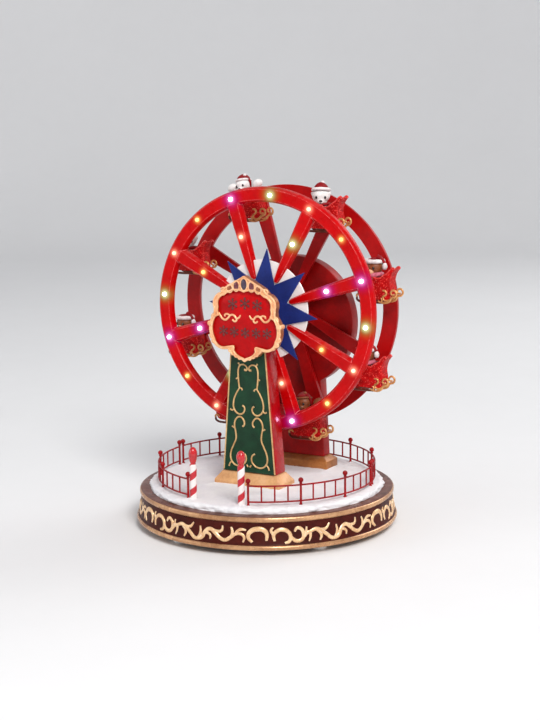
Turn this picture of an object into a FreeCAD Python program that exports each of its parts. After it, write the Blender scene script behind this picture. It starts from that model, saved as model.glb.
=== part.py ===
import FreeCAD, Part
import math
import os

from FreeCAD import Vector

# A lit and musical ferris wheel on a round snow-covered base.
# The origin is the base's centre on the table. The sign faces -Y and the wheel turns about Y.

# Fits
RUNNING_FIT = 0.05
LOOSE_FIT = 0.2
OVERCUT = 1.0

# Base
FOOT_HEIGHT = 5.0
FOOT_RADIUS = 6.5
FOOT_INSET = 7.2
FOOT_COUNT = 5
FOOT_SIDES = 16
FIRST_FOOT_ANGLE = -36.0
RIM_RADIUS = 112.5
RIM_HEIGHT = 4.0
RIM_LIP = 2.2
WALL_LEAN = 2.5
WALL_HEIGHT = 18.2
BAND_LIP = 1.7
BAND_HEIGHT = 4.3
SHELL_WALL = 2.8
LEDGE_WIDTH = 9.0
LEDGE_THICKNESS = 2.5
PLATE_THICKNESS = 2.0
BOSS_RADIUS = 3.6
BOSS_INSET = 5.0
BOSS_HOLE_DEPTH = 12.0
BOSS_SIDES = 6

# Snow deck
DECK_INSET = 8.5
DECK_EDGE_HEIGHT = 1.5
DECK_SLOPE_WIDTH = 6.0
DECK_THICKNESS = 4.9
POCKET_DEPTH = 0.9

# Railing
FENCE_NAMES = ["fence_front_right", "fence_back_right", "fence_back_left", "fence_front_left"]
FENCE_INSET = 2.0
FENCE_FIRST_ANGLE = -70.5
FENCE_SECTION_ANGLE = 79.0
FENCE_SECTION_STEP = 82.2
PANELS_PER_SECTION = 3
GAPS_PER_PANEL = 4
POST_RADIUS = 0.85
POST_HEIGHT = 20.4
BALL_RADIUS = 2.1
BALUSTER_RADIUS = 0.7
TOP_RAIL_RISE = 16.4
BOTTOM_RAIL_RISE = 3.3
RAIL_THICKNESS = 1.2
POST_PIN_DEPTH = 3.0

# Striped poles at the entrance
POLE_INSET = 4.7
POLE_ANGLES = (-102.8, -74.3)
POLE_RADIUS = 2.9
POLE_HEIGHT = 29.5
POLE_PIN_RADIUS = 1.5
POLE_PIN_DEPTH = 3.0
POLE_SIDES = 12
BULB_RADIUS = 3.5
BULB_HEIGHT = 13.5

# Wheel
HUB_HEIGHT = 183.0
WHEEL_MIDDLE_Y = 20.3
RING_BACK_Y = -0.7
RING_DEPTH = 6.2
CROWN_INSET = 2.6
CROWN_SHARE = 0.62
RIM_OUTER_RADIUS = 103.7
RIM_WIDTH = 13.2
LAMP_INSET = 6.7
MID_LAMP_INSET = 26.5
SPOKE_COUNT = 8
FIRST_SPOKE_ANGLE = 107.17
SPOKE_TIP_RADIUS = 27.0
SPOKE_TIP_WIDTH = 3.2
SPOKE_TIP_DROP = 1.2
SPOKE_NECK_RADIUS = 29.5
SPOKE_NECK_WIDTH = 5.6
SPOKE_NECK_DROP = 0.6
SPOKE_DISC_WIDTH = 8.8
SPOKE_RIM_WIDTH = 13.6
DISC_RADIUS = 42.7
DISC_FRONT_Y = -4.4
DISC_THICKNESS = 1.5
STAR_TIP_RADIUS = 52.4
STAR_VALLEY_RADIUS = 24.5
STAR_THICKNESS = 1.6
SLEEVE_RADIUS = 9.0
BACK_BOSS_RADIUS = 14.0
BACK_BOSS_DEPTH = 5.2

# Lamps, each in its own hole
LAMP_RADIUS = 1.5
LAMP_SEAT_DEPTH = 3.7
LAMP_BODY_LENGTH = 4.7
LAMP_TIP_LENGTH = 1.2
LAMP_SIDES = 6

# Hanger rods
ROD_RADIUS = 1.0
ROD_HOLE_SIDES = 6
ROD_SEAT_DEPTH = 1.5

# Axle and bushes
AXLE_RADIUS = 2.5
AXLE_BORE_RADIUS = 1.2
AXLE_FRONT_Y = -26.0
AXLE_BACK_Y = 77.0
BUSH_RADIUS = 4.0
BUSH_SIDES = 12
SLEEVE_SIDES = 24

# Front tower
TOWER_BACK_Y = -13.5
TOWER_FRONT_Y = -30.0
TOWER_FOOT_Z = 47.5
TOWER_FOOT_WIDTH = 51.2
TOWER_TAPER = 0.0807
TOWER_WALL = 2.2
CAVITY_DROP = 18.0
TOWER_BOSS_RADIUS = 9.0
TOWER_BOSS_LENGTH = 4.5
PANEL_MARGIN = 0.6
PANEL_THICKNESS = 1.0
PANEL_DROP = 25.0
STRIP_WIDTH = 1.3
STRIP_RISE = 0.5

# Plinths
FRONT_PLINTH_SKIRT = 5.7
FRONT_PLINTH_STEP = 4.5
BACK_PLINTH_SKIRT = 5.0
BACK_PLINTH_STEP = 8.5
PLINTH_LIP = 0.3
SPIGOT_HEIGHT = 3.0
WIRE_HOLE_RADIUS = 3.0

# Rear tower
BACK_TOWER_FRONT_Y = 49.5
BACK_TOWER_DEPTH = 12.5
BACK_TOWER_WALL = 2.4
BACK_LEG_WIDTH = 61.0
BACK_LEG_TAPER = 0.0545
BACK_HEAD_RADIUS = 58.0
BACK_HEAD_DROP = 16.0

# Drive
MODULE = 0.8
WHEEL_TEETH = 36
PINION_TEETH = 12
PRESSURE_ANGLE = 20.0
TOOTH_BACKLASH = 0.16
CENTRE_EASE = 0.1
GEAR_FRONT_Y = 64.0
GEAR_WIDTH = 4.0
MOTOR_SHAFT_RADIUS = 1.0
MOTOR_FRONT_Y = 69.0
MOTOR_DEPTH = 9.5
MOTOR_WIDTH = 21.0
MOTOR_HEIGHT = 19.0
EAR_SPAN = 37.0
EAR_HEIGHT = 6.5
EAR_THICKNESS = 1.2
EAR_SCREW_OFFSET = 15.0
EAR_DROP = 5.7
COVER_WIDTH = 54.0
COVER_HEIGHT = 58.0
COVER_DEPTH = 19.5
COVER_CORNER = 5.0
COVER_WALL = 2.0
COVER_DROP = 7.0
LUG_RADIUS = 4.0
LUG_THICKNESS = 3.0

# Current to the turning lamps
SLIP_RING_RADIUS = 4.5
SLIP_RING_Y = 71.0
SLIP_RING_WIDTH = 3.0
BRUSH_GAP = 0.1
BRUSH_THICKNESS = 0.4
BRUSH_WIDTH = 1.6
BRUSH_BLOCK_X = 17.5
BRUSH_BLOCK_SIZE = 5.0
BRUSH_BLOCK_HEIGHT = 11.0

# Sign
SIGN_BACK_Y = -31.5
SIGN_FRONT_Y = -38.5
BOARD_RECESS = 2.0
JEWEL_RECESS = 1.2
KNOB_RISE = 1.5
KNOB_RADIUS = 2.4
KNOB_PLACES = [(20.8, 19.2), (34.0, -11.0)]
CELLS = [(0.0, 24.6, 2.9, 4.3), (7.0, 22.9, 2.2, 3.1), (13.2, 20.7, 2.0, 2.3)]

# Sleigh cars
CAR_COUNT = 8
CAR_WIDTH = 13.0
CAR_WALL = 1.6
CAR_BORE_RADIUS = 1.1
EAR_RADIUS = 2.6
RUNNER_SPREAD = 11.5
RUNNER_THICKNESS = 2.0
RUNNER_TOP = -21.2
STRUT_PLACES = (8.0, -4.0)
STRUT_WIDTH = 2.0
STRUT_TOP = -16.8
SCROLL_OFFSET = (18.9, -11.4)
SCROLL_OUTER_RADIUS = 4.2
SCROLL_INNER_RADIUS = 2.3

# Riders
RIDER_SIDES = 6
HEAD_RADIUS = 7.2
HEAD_RISE = 9.5
HAT_RISE = 21.0

# Supply and sound, inside the base
CELL_RADIUS = 7.1
CELL_LENGTH = 50.5
CELL_COUNT = 3
CELL_SIDES = 16
CELL_PITCH = 15.0
SPRING_ROOM = 5.5
BATTERY_Y = 40.0
BATTERY_WALL = 1.8
SPEAKER_Y = -48.0
SPEAKER_RADIUS = 22.0
SPEAKER_FRAME = 3.0
MAGNET_RADIUS = 11.0
MAGNET_HEIGHT = 12.0
SPEAKER_SIDES = 24
GRILLE_SLOTS = 5
GRILLE_PITCH = 6.0
GRILLE_SLOT_WIDTH = 2.4
GRILLE_SLOT_LENGTH = 30.0
BOARD_PLACE = (60.0, -8.0)
BOARD_SIZE = (30.0, 40.0, 1.6)
BOARD_STANDOFF = 5.0
STANDOFF_RADIUS = 2.5
SWITCH_PLACE = (-62.0, -12.0)
SWITCH_TRAVEL = 4.0
KNOB_LENGTH = 4.0
KNOB_WIDTH = 2.6
KNOB_DROP = 2.2
SWITCH_BODY = (15.0, 7.0, 6.0)

# Screws
SCREW_HEAD_RADIUS = 2.4
SCREW_HEAD_HEIGHT = 1.4
SCREW_RADIUS = 1.2
SCREW_LENGTH = 9.0
SCREW_SIDES = 6

# Worked out from the sizes above
WALL_FOOT_RADIUS = RIM_RADIUS - RIM_LIP
WALL_TOP_RADIUS = WALL_FOOT_RADIUS - WALL_LEAN
BAND_RADIUS = WALL_TOP_RADIUS + BAND_LIP
WALL_FOOT_Z = FOOT_HEIGHT + RIM_HEIGHT
WALL_TOP_Z = WALL_FOOT_Z + WALL_HEIGHT
LEDGE_Z = WALL_TOP_Z + BAND_HEIGHT
PLATE_TOP_Z = FOOT_HEIGHT + PLATE_THICKNESS
SHELL_BORE_RADIUS = WALL_TOP_RADIUS - SHELL_WALL
PLATE_RADIUS = SHELL_BORE_RADIUS - LOOSE_FIT
LEDGE_RADIUS = SHELL_BORE_RADIUS - LEDGE_WIDTH
BOSS_CIRCLE = SHELL_BORE_RADIUS - BOSS_INSET
FOOT_CIRCLE = PLATE_RADIUS - FOOT_INSET
DECK_RADIUS = BAND_RADIUS - DECK_INSET
DECK_SHOULDER_RADIUS = DECK_RADIUS - DECK_SLOPE_WIDTH
FENCE_RADIUS = DECK_SHOULDER_RADIUS - FENCE_INSET
POLE_CIRCLE = DECK_SHOULDER_RADIUS - POLE_INSET
DECK_TOP_Z = LEDGE_Z + DECK_THICKNESS
POCKET_Z = DECK_TOP_Z - POCKET_DEPTH
RING_FRONT_Y = RING_BACK_Y - RING_DEPTH
RIM_INNER_RADIUS = RIM_OUTER_RADIUS - RIM_WIDTH
LAMP_CIRCLE = RIM_OUTER_RADIUS - LAMP_INSET
MID_LAMP_CIRCLE = RIM_INNER_RADIUS - MID_LAMP_INSET
DISC_BACK_Y = DISC_FRONT_Y + DISC_THICKNESS
BACK_RING_Y = 2 * WHEEL_MIDDLE_Y - RING_BACK_Y
BACK_TOWER_BACK_Y = BACK_TOWER_FRONT_Y + BACK_TOWER_DEPTH
COVER_END_Y = BACK_TOWER_BACK_Y + COVER_DEPTH
GEAR_PITCH_RADIUS = MODULE * WHEEL_TEETH / 2
PINION_PITCH_RADIUS = MODULE * PINION_TEETH / 2
PINION_Z = HUB_HEIGHT - GEAR_PITCH_RADIUS - PINION_PITCH_RADIUS - CENTRE_EASE
EAR_Z = PINION_Z - EAR_DROP
COVER_Z = HUB_HEIGHT - COVER_DROP
BACK_HEAD_Z = HUB_HEIGHT - BACK_HEAD_DROP
TOWER_CAVITY_TOP_Z = HUB_HEIGHT - CAVITY_DROP
PANEL_TOP_Z = HUB_HEIGHT - PANEL_DROP
UP = Vector(0, 0, 1)
BACKWARD = Vector(0, 1, 0)
ORIGIN = Vector(0, 0, 0)


def box(x_range, y_range, z_range):
    """Block between three pairs of limits."""
    size = [high - low for low, high in (x_range, y_range, z_range)]
    return Part.makeBox(size[0], size[1], size[2], Vector(x_range[0], y_range[0], z_range[0]))


def post(radius, x, y, z_low, z_high):
    """Upright round bar."""
    return Part.makeCylinder(radius, z_high - z_low, Vector(x, y, z_low), UP)


def bar(radius, x, z, y_front, y_back):
    """Round bar along Y."""
    return Part.makeCylinder(radius, y_back - y_front, Vector(x, y_front, z), BACKWARD)


def outline(start, steps, y):
    """Closed wire in the plane y; a step is an end point, or a middle and an end point of an arc."""
    edges = []
    here = Vector(start[0], y, start[1])
    for step in list(steps) + [start]:
        if isinstance(step[0], tuple):
            middle = Vector(step[0][0], y, step[0][1])
            there = Vector(step[1][0], y, step[1][1])
            edges.append(Part.Arc(here, middle, there).toShape())
        else:
            there = Vector(step[0], y, step[1])
            if not there.isEqual(here, 1e-6):
                edges.append(Part.makeLine(here, there))
        here = there
    return Part.Wire(edges)


def slab(wire, depth):
    """Solid made by pushing a flat outline back along Y."""
    return Part.Face(wire).extrude(Vector(0, depth, 0))


def polygon_slab(points, y_front, y_back):
    """Flat-sided solid from an (x, z) polygon."""
    return slab(outline(points[0], points[1:], y_front), y_back - y_front)


def mirrored_steps(start, right_side):
    """Steps of a closed outline that is the same on both sides of x = 0."""
    places = [start]
    for step in right_side:
        places.append(step[1] if isinstance(step[0], tuple) else step)
    left_side = []
    for index in range(len(right_side) - 1, -1, -1):
        step = right_side[index]
        end = (-places[index][0], places[index][1])
        if isinstance(step[0], tuple):
            left_side.append(((-step[0][0], step[0][1]), end))
        else:
            left_side.append(end)
    return list(right_side) + left_side


def turned_up(profile):
    """Solid of revolution about Z from (radius, z) steps; arcs as in outline."""
    return Part.Face(outline(profile[0], profile[1:], 0)).revolve(ORIGIN, UP, 360)


def turned_about_wheel(profile):
    """Solid of revolution about the wheel's axis from (radius, y) points, at height 0."""
    corners = [Vector(radius, y, 0) for radius, y in profile + profile[:1]]
    return Part.Face(Part.makePolygon(corners)).revolve(ORIGIN, BACKWARD, 360)


def polar(radius, angle):
    """Point on a circle, its angle in degrees from the first axis."""
    return radius * math.cos(math.radians(angle)), radius * math.sin(math.radians(angle))


def spoke_angle(number):
    """Angle of a spoke; half numbers lie midway between two spokes."""
    return FIRST_SPOKE_ANGLE - 360.0 / SPOKE_COUNT * number


def wheel_point(radius, angle):
    """(x, z) of a point on the wheel."""
    x, rise = polar(radius, angle)
    return x, HUB_HEIGHT + rise


def tower_half_width(z):
    """Half width of the front tower at a height."""
    return TOWER_FOOT_WIDTH / 2 - TOWER_TAPER * (z - TOWER_FOOT_Z)


def back_leg_half_width(z):
    """Half width of the rear tower's leg at a height."""
    return BACK_LEG_WIDTH / 2 - BACK_LEG_TAPER * (z - TOWER_FOOT_Z)


def flat_faces(a, b, c, d):
    """Face through four corners, or two where they don't lie in one plane."""
    normal = (b - a).cross(c - a)
    if abs(normal.dot(d - a)) < 1e-6 * max(normal.Length, 1e-6):
        return [Part.Face(Part.makePolygon([a, b, c, d, a]))]
    return [Part.Face(Part.makePolygon([a, b, c, a])), Part.Face(Part.makePolygon([a, c, d, a]))]


def ring_solid(rings):
    """Flat-sided solid through closed rings of corners, each ring in one plane."""
    faces = [Part.Face(Part.makePolygon(ring + ring[:1])) for ring in (rings[0], rings[-1])]
    for lower, upper in zip(rings, rings[1:]):
        for index in range(len(lower)):
            after = (index + 1) % len(lower)
            faces += flat_faces(lower[index], lower[after], upper[after], upper[index])
    solid = Part.makeSolid(Part.makeShell(faces))
    if solid.Volume < 0:
        solid.reverse()
    return solid


def corner_radius(radius, sides):
    """Radius to the corners of a flat-sided hole that clears a round bar."""
    return radius / math.cos(math.pi / sides)


def level_ring(x, y, z, half_x, half_y, sides):
    """Corners of a level ring round a point."""
    corners = []
    for index in range(sides):
        angle = 2 * math.pi * (index + 0.5) / sides
        corners.append(Vector(x + half_x * math.cos(angle), y + half_y * math.sin(angle), z))
    return corners


def upright_ring(x, y, z, radius, sides):
    """Corners of a ring that faces along Y."""
    corners = []
    for index in range(sides):
        angle = 2 * math.pi * (index + 0.5) / sides
        corners.append(Vector(x + radius * math.cos(angle), y, z + radius * math.sin(angle)))
    return corners


def faceted_post(radius, x, y, z_low, z_high, sides):
    """Upright bar with flat sides."""
    rings = [level_ring(x, y, z, radius, radius, sides) for z in (z_low, z_high)]
    return ring_solid(rings)


def faceted_bar(radius, x, z, y_front, y_back, sides):
    """Bar along Y with flat sides."""
    return ring_solid([upright_ring(x, y, z, radius, sides) for y in (y_front, y_back)])


def faceted_form(rings, sides):
    """Flat-sided solid through level rings, each (x, y, z, half length, half width)."""
    return ring_solid([level_ring(*ring, sides) for ring in rings])


def foot_places():
    """Centres of the feet."""
    step = 360.0 / FOOT_COUNT
    return [polar(FOOT_CIRCLE, FIRST_FOOT_ANGLE + step * index) for index in range(FOOT_COUNT)]


def boss_places():
    """Centres of the base's screw bosses, midway between the feet."""
    step = 360.0 / FOOT_COUNT
    first = FIRST_FOOT_ANGLE + step / 2
    return [polar(BOSS_CIRCLE, first + step * index) for index in range(FOOT_COUNT)]


def pole_places():
    """Centres of the two striped poles."""
    return [polar(POLE_CIRCLE, angle) for angle in POLE_ANGLES]


def base_feet():
    """Five rubber feet."""
    feet = [faceted_post(FOOT_RADIUS, x, y, 0, FOOT_HEIGHT, FOOT_SIDES) for x, y in foot_places()]
    return Part.makeCompound(feet)


def base_shell():
    """Open-bottomed drum: a foot rim, a sloping wall, a band and a ledge that carries the deck."""
    ledge_foot = LEDGE_Z - LEDGE_THICKNESS
    shell = turned_up([
        (SHELL_BORE_RADIUS, FOOT_HEIGHT),
        (RIM_RADIUS, FOOT_HEIGHT),
        (RIM_RADIUS, WALL_FOOT_Z),
        (WALL_FOOT_RADIUS, WALL_FOOT_Z),
        (WALL_TOP_RADIUS, WALL_TOP_Z),
        (BAND_RADIUS, WALL_TOP_Z),
        (BAND_RADIUS, LEDGE_Z),
        (LEDGE_RADIUS, LEDGE_Z),
        (LEDGE_RADIUS, ledge_foot),
        (SHELL_BORE_RADIUS, ledge_foot),
    ])
    hole_top = PLATE_TOP_Z + BOSS_HOLE_DEPTH
    bosses = [faceted_post(BOSS_RADIUS, x, y, PLATE_TOP_Z, ledge_foot, BOSS_SIDES) for x, y in boss_places()]
    holes = []
    for x, y in boss_places():
        holes.append(faceted_post(SCREW_RADIUS + RUNNING_FIT, x, y, FOOT_HEIGHT, hole_top, SCREW_SIDES))
    return shell.multiFuse(bosses).cut(holes)


def battery_half_sizes():
    """Inside half length and half width of the battery box."""
    half_x = CELL_COUNT * CELL_PITCH / 2 + 0.5
    half_y = (CELL_LENGTH + SPRING_ROOM) / 2
    return half_x, half_y


def base_plate():
    """Bottom cover with grille slots, battery opening, switch slot, posts and screw holes."""
    plate = post(PLATE_RADIUS, 0, 0, FOOT_HEIGHT, PLATE_TOP_Z)
    through = (FOOT_HEIGHT - OVERCUT, PLATE_TOP_Z + OVERCUT)
    half_x, half_y = battery_half_sizes()
    cuts = [box((-half_x, half_x), (BATTERY_Y - half_y, BATTERY_Y + half_y), through)]
    for index in range(GRILLE_SLOTS):
        x = (index - (GRILLE_SLOTS - 1) / 2) * GRILLE_PITCH
        half = GRILLE_SLOT_LENGTH / 2
        wide = GRILLE_SLOT_WIDTH / 2
        cuts.append(box((x - wide, x + wide), (SPEAKER_Y - half, SPEAKER_Y + half), through))
    slot_half = (SWITCH_TRAVEL + KNOB_LENGTH) / 2 + LOOSE_FIT
    slot_wide = KNOB_WIDTH / 2 + LOOSE_FIT
    switch_x, switch_y = SWITCH_PLACE
    x_range = (switch_x - slot_half, switch_x + slot_half)
    cuts.append(box(x_range, (switch_y - slot_wide, switch_y + slot_wide), through))
    for x, y in boss_places():
        cuts.append(faceted_post(SCREW_RADIUS + LOOSE_FIT, x, y, through[0], through[1], SCREW_SIDES))
    plate = plate.cut(cuts)
    board_x, board_y = BOARD_PLACE
    for side in (-1, 1):
        y = board_y + side * (BOARD_SIZE[1] / 2 - STANDOFF_RADIUS)
        standoff_top = PLATE_TOP_Z + BOARD_STANDOFF
        plate = plate.fuse(faceted_post(STANDOFF_RADIUS, board_x, y, PLATE_TOP_Z, standoff_top, 6))
    return plate


def snow_deck():
    """Snow field with a sloping edge, plinth pockets and sockets for fence and poles."""
    deck = turned_up([
        (0, LEDGE_Z),
        (DECK_RADIUS, LEDGE_Z),
        (DECK_RADIUS, LEDGE_Z + DECK_EDGE_HEIGHT),
        (DECK_SHOULDER_RADIUS, DECK_TOP_Z),
        (0, DECK_TOP_Z),
    ])
    top = DECK_TOP_Z + OVERCUT
    cuts = []
    for limits in (front_plinth_limits(), back_plinth_limits()):
        x_range = (limits[0][0] - LOOSE_FIT, limits[0][1] + LOOSE_FIT)
        y_range = (limits[1][0] - LOOSE_FIT, limits[1][1] + LOOSE_FIT)
        cuts.append(box(x_range, y_range, (POCKET_Z, top)))
    for section in range(len(FENCE_NAMES)):
        for index in (0, PANELS_PER_SECTION * GAPS_PER_PANEL):
            x, y = polar(FENCE_RADIUS, fence_angle(section, index))
            cuts.append(faceted_post(POST_RADIUS + RUNNING_FIT, x, y, DECK_TOP_Z - POST_PIN_DEPTH, top, 6))
    for x, y in pole_places():
        foot = DECK_TOP_Z - POLE_PIN_DEPTH
        cuts.append(faceted_post(POLE_PIN_RADIUS + RUNNING_FIT, x, y, foot, top, 6))
    for y in ((TOWER_FRONT_Y + TOWER_BACK_Y) / 2, BACK_TOWER_FRONT_Y + BACK_TOWER_DEPTH / 2):
        cuts.append(faceted_post(WIRE_HOLE_RADIUS, 0, y, LEDGE_Z - OVERCUT, top, 8))
    return deck.cut(cuts)


def fence_angle(section, index):
    """Angle of one upright of a length of railing."""
    step = FENCE_SECTION_ANGLE / (PANELS_PER_SECTION * GAPS_PER_PANEL)
    return FENCE_FIRST_ANGLE + FENCE_SECTION_STEP * section + step * index


def fence_rail(section, rise):
    """Square rail that bends at each upright."""
    half = RAIL_THICKNESS / 2
    low = DECK_TOP_Z + rise - half
    rings = []
    for index in range(PANELS_PER_SECTION * GAPS_PER_PANEL + 1):
        inner = polar(FENCE_RADIUS - half, fence_angle(section, index))
        outer = polar(FENCE_RADIUS + half, fence_angle(section, index))
        ring = [Vector(*inner, low), Vector(*outer, low)]
        ring += [Vector(*outer, low + RAIL_THICKNESS), Vector(*inner, low + RAIL_THICKNESS)]
        rings.append(ring)
    return ring_solid(rings)


def fence_bar(section, index):
    """Thin four-sided upright between the two rails."""
    x, y = polar(FENCE_RADIUS, fence_angle(section, index))
    low = DECK_TOP_Z + BOTTOM_RAIL_RISE + RAIL_THICKNESS / 2
    high = DECK_TOP_Z + TOP_RAIL_RISE - RAIL_THICKNESS / 2
    shape = faceted_post(BALUSTER_RADIUS, x, y, low, high, 4)
    shape.rotate(Vector(x, y, 0), UP, fence_angle(section, index))
    return shape


def fence_post(x, y, foot):
    """Post with a ball on its top."""
    centre = DECK_TOP_Z + POST_HEIGHT
    cap = BALL_RADIUS / 2
    reach = BALL_RADIUS * math.cos(math.radians(30))
    return faceted_form([
        (x, y, foot, POST_RADIUS, POST_RADIUS),
        (x, y, centre - reach, POST_RADIUS, POST_RADIUS),
        (x, y, centre, BALL_RADIUS, BALL_RADIUS),
        (x, y, centre + reach, cap, cap),
    ], 6)


def fence(section):
    """Length of railing: ball-topped posts, thin bars between them and two rails."""
    last = PANELS_PER_SECTION * GAPS_PER_PANEL
    pieces = [fence_rail(section, TOP_RAIL_RISE)]
    for index in range(last + 1):
        if index % GAPS_PER_PANEL:
            pieces.append(fence_bar(section, index))
            continue
        x, y = polar(FENCE_RADIUS, fence_angle(section, index))
        foot = DECK_TOP_Z - POST_PIN_DEPTH + LOOSE_FIT if index in (0, last) else DECK_TOP_Z
        pieces.append(fence_post(x, y, foot))
    return fence_rail(section, BOTTOM_RAIL_RISE).multiFuse(pieces).removeSplitter()


def candy_poles():
    """Two round poles, each with a pin in the snow."""
    poles = []
    for x, y in pole_places():
        pole = faceted_post(POLE_RADIUS, x, y, DECK_TOP_Z, DECK_TOP_Z + POLE_HEIGHT, POLE_SIDES)
        pin_foot = DECK_TOP_Z - POLE_PIN_DEPTH + LOOSE_FIT
        poles.append(pole.fuse(faceted_post(POLE_PIN_RADIUS, x, y, pin_foot, DECK_TOP_Z, 6)))
    return Part.makeCompound(poles)


def pole_lamps():
    """Bulb-shaped tops of the two poles."""
    foot = DECK_TOP_Z + POLE_HEIGHT
    shape = [(0, 0.62), (0.25, 0.85), (0.58, 1.0), (0.85, 0.75), (1.0, 0.3)]
    bulbs = []
    for x, y in pole_places():
        rings = []
        for rise, share in shape:
            radius = BULB_RADIUS * share
            rings.append((x, y, foot + BULB_HEIGHT * rise, radius, radius))
        bulbs.append(faceted_form(rings, 10))
    return Part.makeCompound(bulbs)


def front_plinth_limits():
    """Footprint of the front plinth."""
    half = TOWER_FOOT_WIDTH / 2 + FRONT_PLINTH_SKIRT
    y_range = (TOWER_FRONT_Y - FRONT_PLINTH_SKIRT - 0.5, TOWER_BACK_Y + FRONT_PLINTH_SKIRT)
    return (-half, half), y_range


def back_plinth_limits():
    """Footprint of the rear plinth."""
    half = BACK_LEG_WIDTH / 2 + BACK_PLINTH_SKIRT
    y_range = (BACK_TOWER_FRONT_Y - BACK_PLINTH_SKIRT, BACK_TOWER_BACK_Y + BACK_PLINTH_SKIRT)
    return (-half, half), y_range


def rectangle(x_range, y_range, z):
    """Corners of a level rectangle."""
    return [
        Vector(x_range[0], y_range[0], z),
        Vector(x_range[1], y_range[0], z),
        Vector(x_range[1], y_range[1], z),
        Vector(x_range[0], y_range[1], z),
    ]


def plinth(limits, step, half_top, y_front, y_back, wall):
    """Block with sloping shoulders, and a spigot that stands inside the tower."""
    step_z = POCKET_Z + step
    wide_x, wide_y = limits
    top_x = (-half_top - PLINTH_LIP, half_top + PLINTH_LIP)
    top_y = (y_front - PLINTH_LIP, y_back + PLINTH_LIP)
    block = ring_solid([
        rectangle(wide_x, wide_y, POCKET_Z),
        rectangle(wide_x, wide_y, step_z),
        rectangle(top_x, top_y, TOWER_FOOT_Z),
    ])
    inset = wall + LOOSE_FIT
    narrow = half_top - inset - SPIGOT_HEIGHT * TOWER_TAPER
    spigot_y = (y_front + inset, y_back - inset)
    spigot = box((-narrow, narrow), spigot_y, (TOWER_FOOT_Z - OVERCUT, TOWER_FOOT_Z + SPIGOT_HEIGHT))
    middle = (y_front + y_back) / 2
    hole_top = TOWER_FOOT_Z + SPIGOT_HEIGHT + OVERCUT
    return block.fuse(spigot).cut(faceted_post(WIRE_HOLE_RADIUS, 0, middle, POCKET_Z, hole_top, 8))


def front_plinth():
    """Plinth of the front tower."""
    half_top = TOWER_FOOT_WIDTH / 2
    limits = front_plinth_limits()
    return plinth(limits, FRONT_PLINTH_STEP, half_top, TOWER_FRONT_Y, TOWER_BACK_Y, TOWER_WALL)


def back_plinth():
    """Plinth of the rear tower."""
    half_top = BACK_LEG_WIDTH / 2
    limits = back_plinth_limits()
    depths = (BACK_TOWER_FRONT_Y, BACK_TOWER_BACK_Y)
    return plinth(limits, BACK_PLINTH_STEP, half_top, depths[0], depths[1], BACK_TOWER_WALL)


def front_tower():
    """Hollow tapering tower with a round head and a boss for the axle bush."""
    foot = TOWER_FOOT_WIDTH / 2
    head = tower_half_width(HUB_HEIGHT)
    side = [(foot, TOWER_FOOT_Z), (head, HUB_HEIGHT)]
    top = ((0, HUB_HEIGHT + head), (-head, HUB_HEIGHT))
    wire = outline(side[0], [side[1], top, (-foot, TOWER_FOOT_Z)], TOWER_FRONT_Y)
    tower = slab(wire, TOWER_BACK_Y - TOWER_FRONT_Y)
    boss_back_y = TOWER_BACK_Y + TOWER_BOSS_LENGTH
    tower = tower.fuse(bar(TOWER_BOSS_RADIUS, 0, HUB_HEIGHT, TOWER_BACK_Y - OVERCUT, boss_back_y))
    cavity_foot = foot - TOWER_WALL
    cavity_head = tower_half_width(TOWER_CAVITY_TOP_Z) - TOWER_WALL
    cavity = [
        (-cavity_foot, TOWER_FOOT_Z),
        (cavity_foot, TOWER_FOOT_Z),
        (cavity_head, TOWER_CAVITY_TOP_Z),
        (-cavity_head, TOWER_CAVITY_TOP_Z),
    ]
    tower = tower.cut(polygon_slab(cavity, TOWER_FRONT_Y + TOWER_WALL, TOWER_BACK_Y - TOWER_WALL))
    bush_front_y = AXLE_FRONT_Y - LOOSE_FIT
    hole = faceted_bar(BUSH_RADIUS, 0, HUB_HEIGHT, bush_front_y, boss_back_y + OVERCUT, BUSH_SIDES)
    return tower.cut(hole)


def panel_outline(inset, y):
    """Tapering panel outline, drawn in by an inset."""
    foot_z = TOWER_FOOT_Z + PANEL_MARGIN + inset
    top_z = PANEL_TOP_Z - inset
    foot = tower_half_width(foot_z) - PANEL_MARGIN - inset
    top = tower_half_width(top_z) - PANEL_MARGIN - inset
    return outline((-foot, foot_z), [(foot, foot_z), (top, top_z), (-top, top_z)], y)


def front_panel():
    """Green panel with a raised edge strip all round."""
    plate_y = TOWER_FRONT_Y - PANEL_THICKNESS
    strip_y = plate_y - STRIP_RISE
    panel = slab(panel_outline(0, strip_y), PANEL_THICKNESS + STRIP_RISE)
    return panel.cut(slab(panel_outline(STRIP_WIDTH, strip_y), STRIP_RISE))


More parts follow.
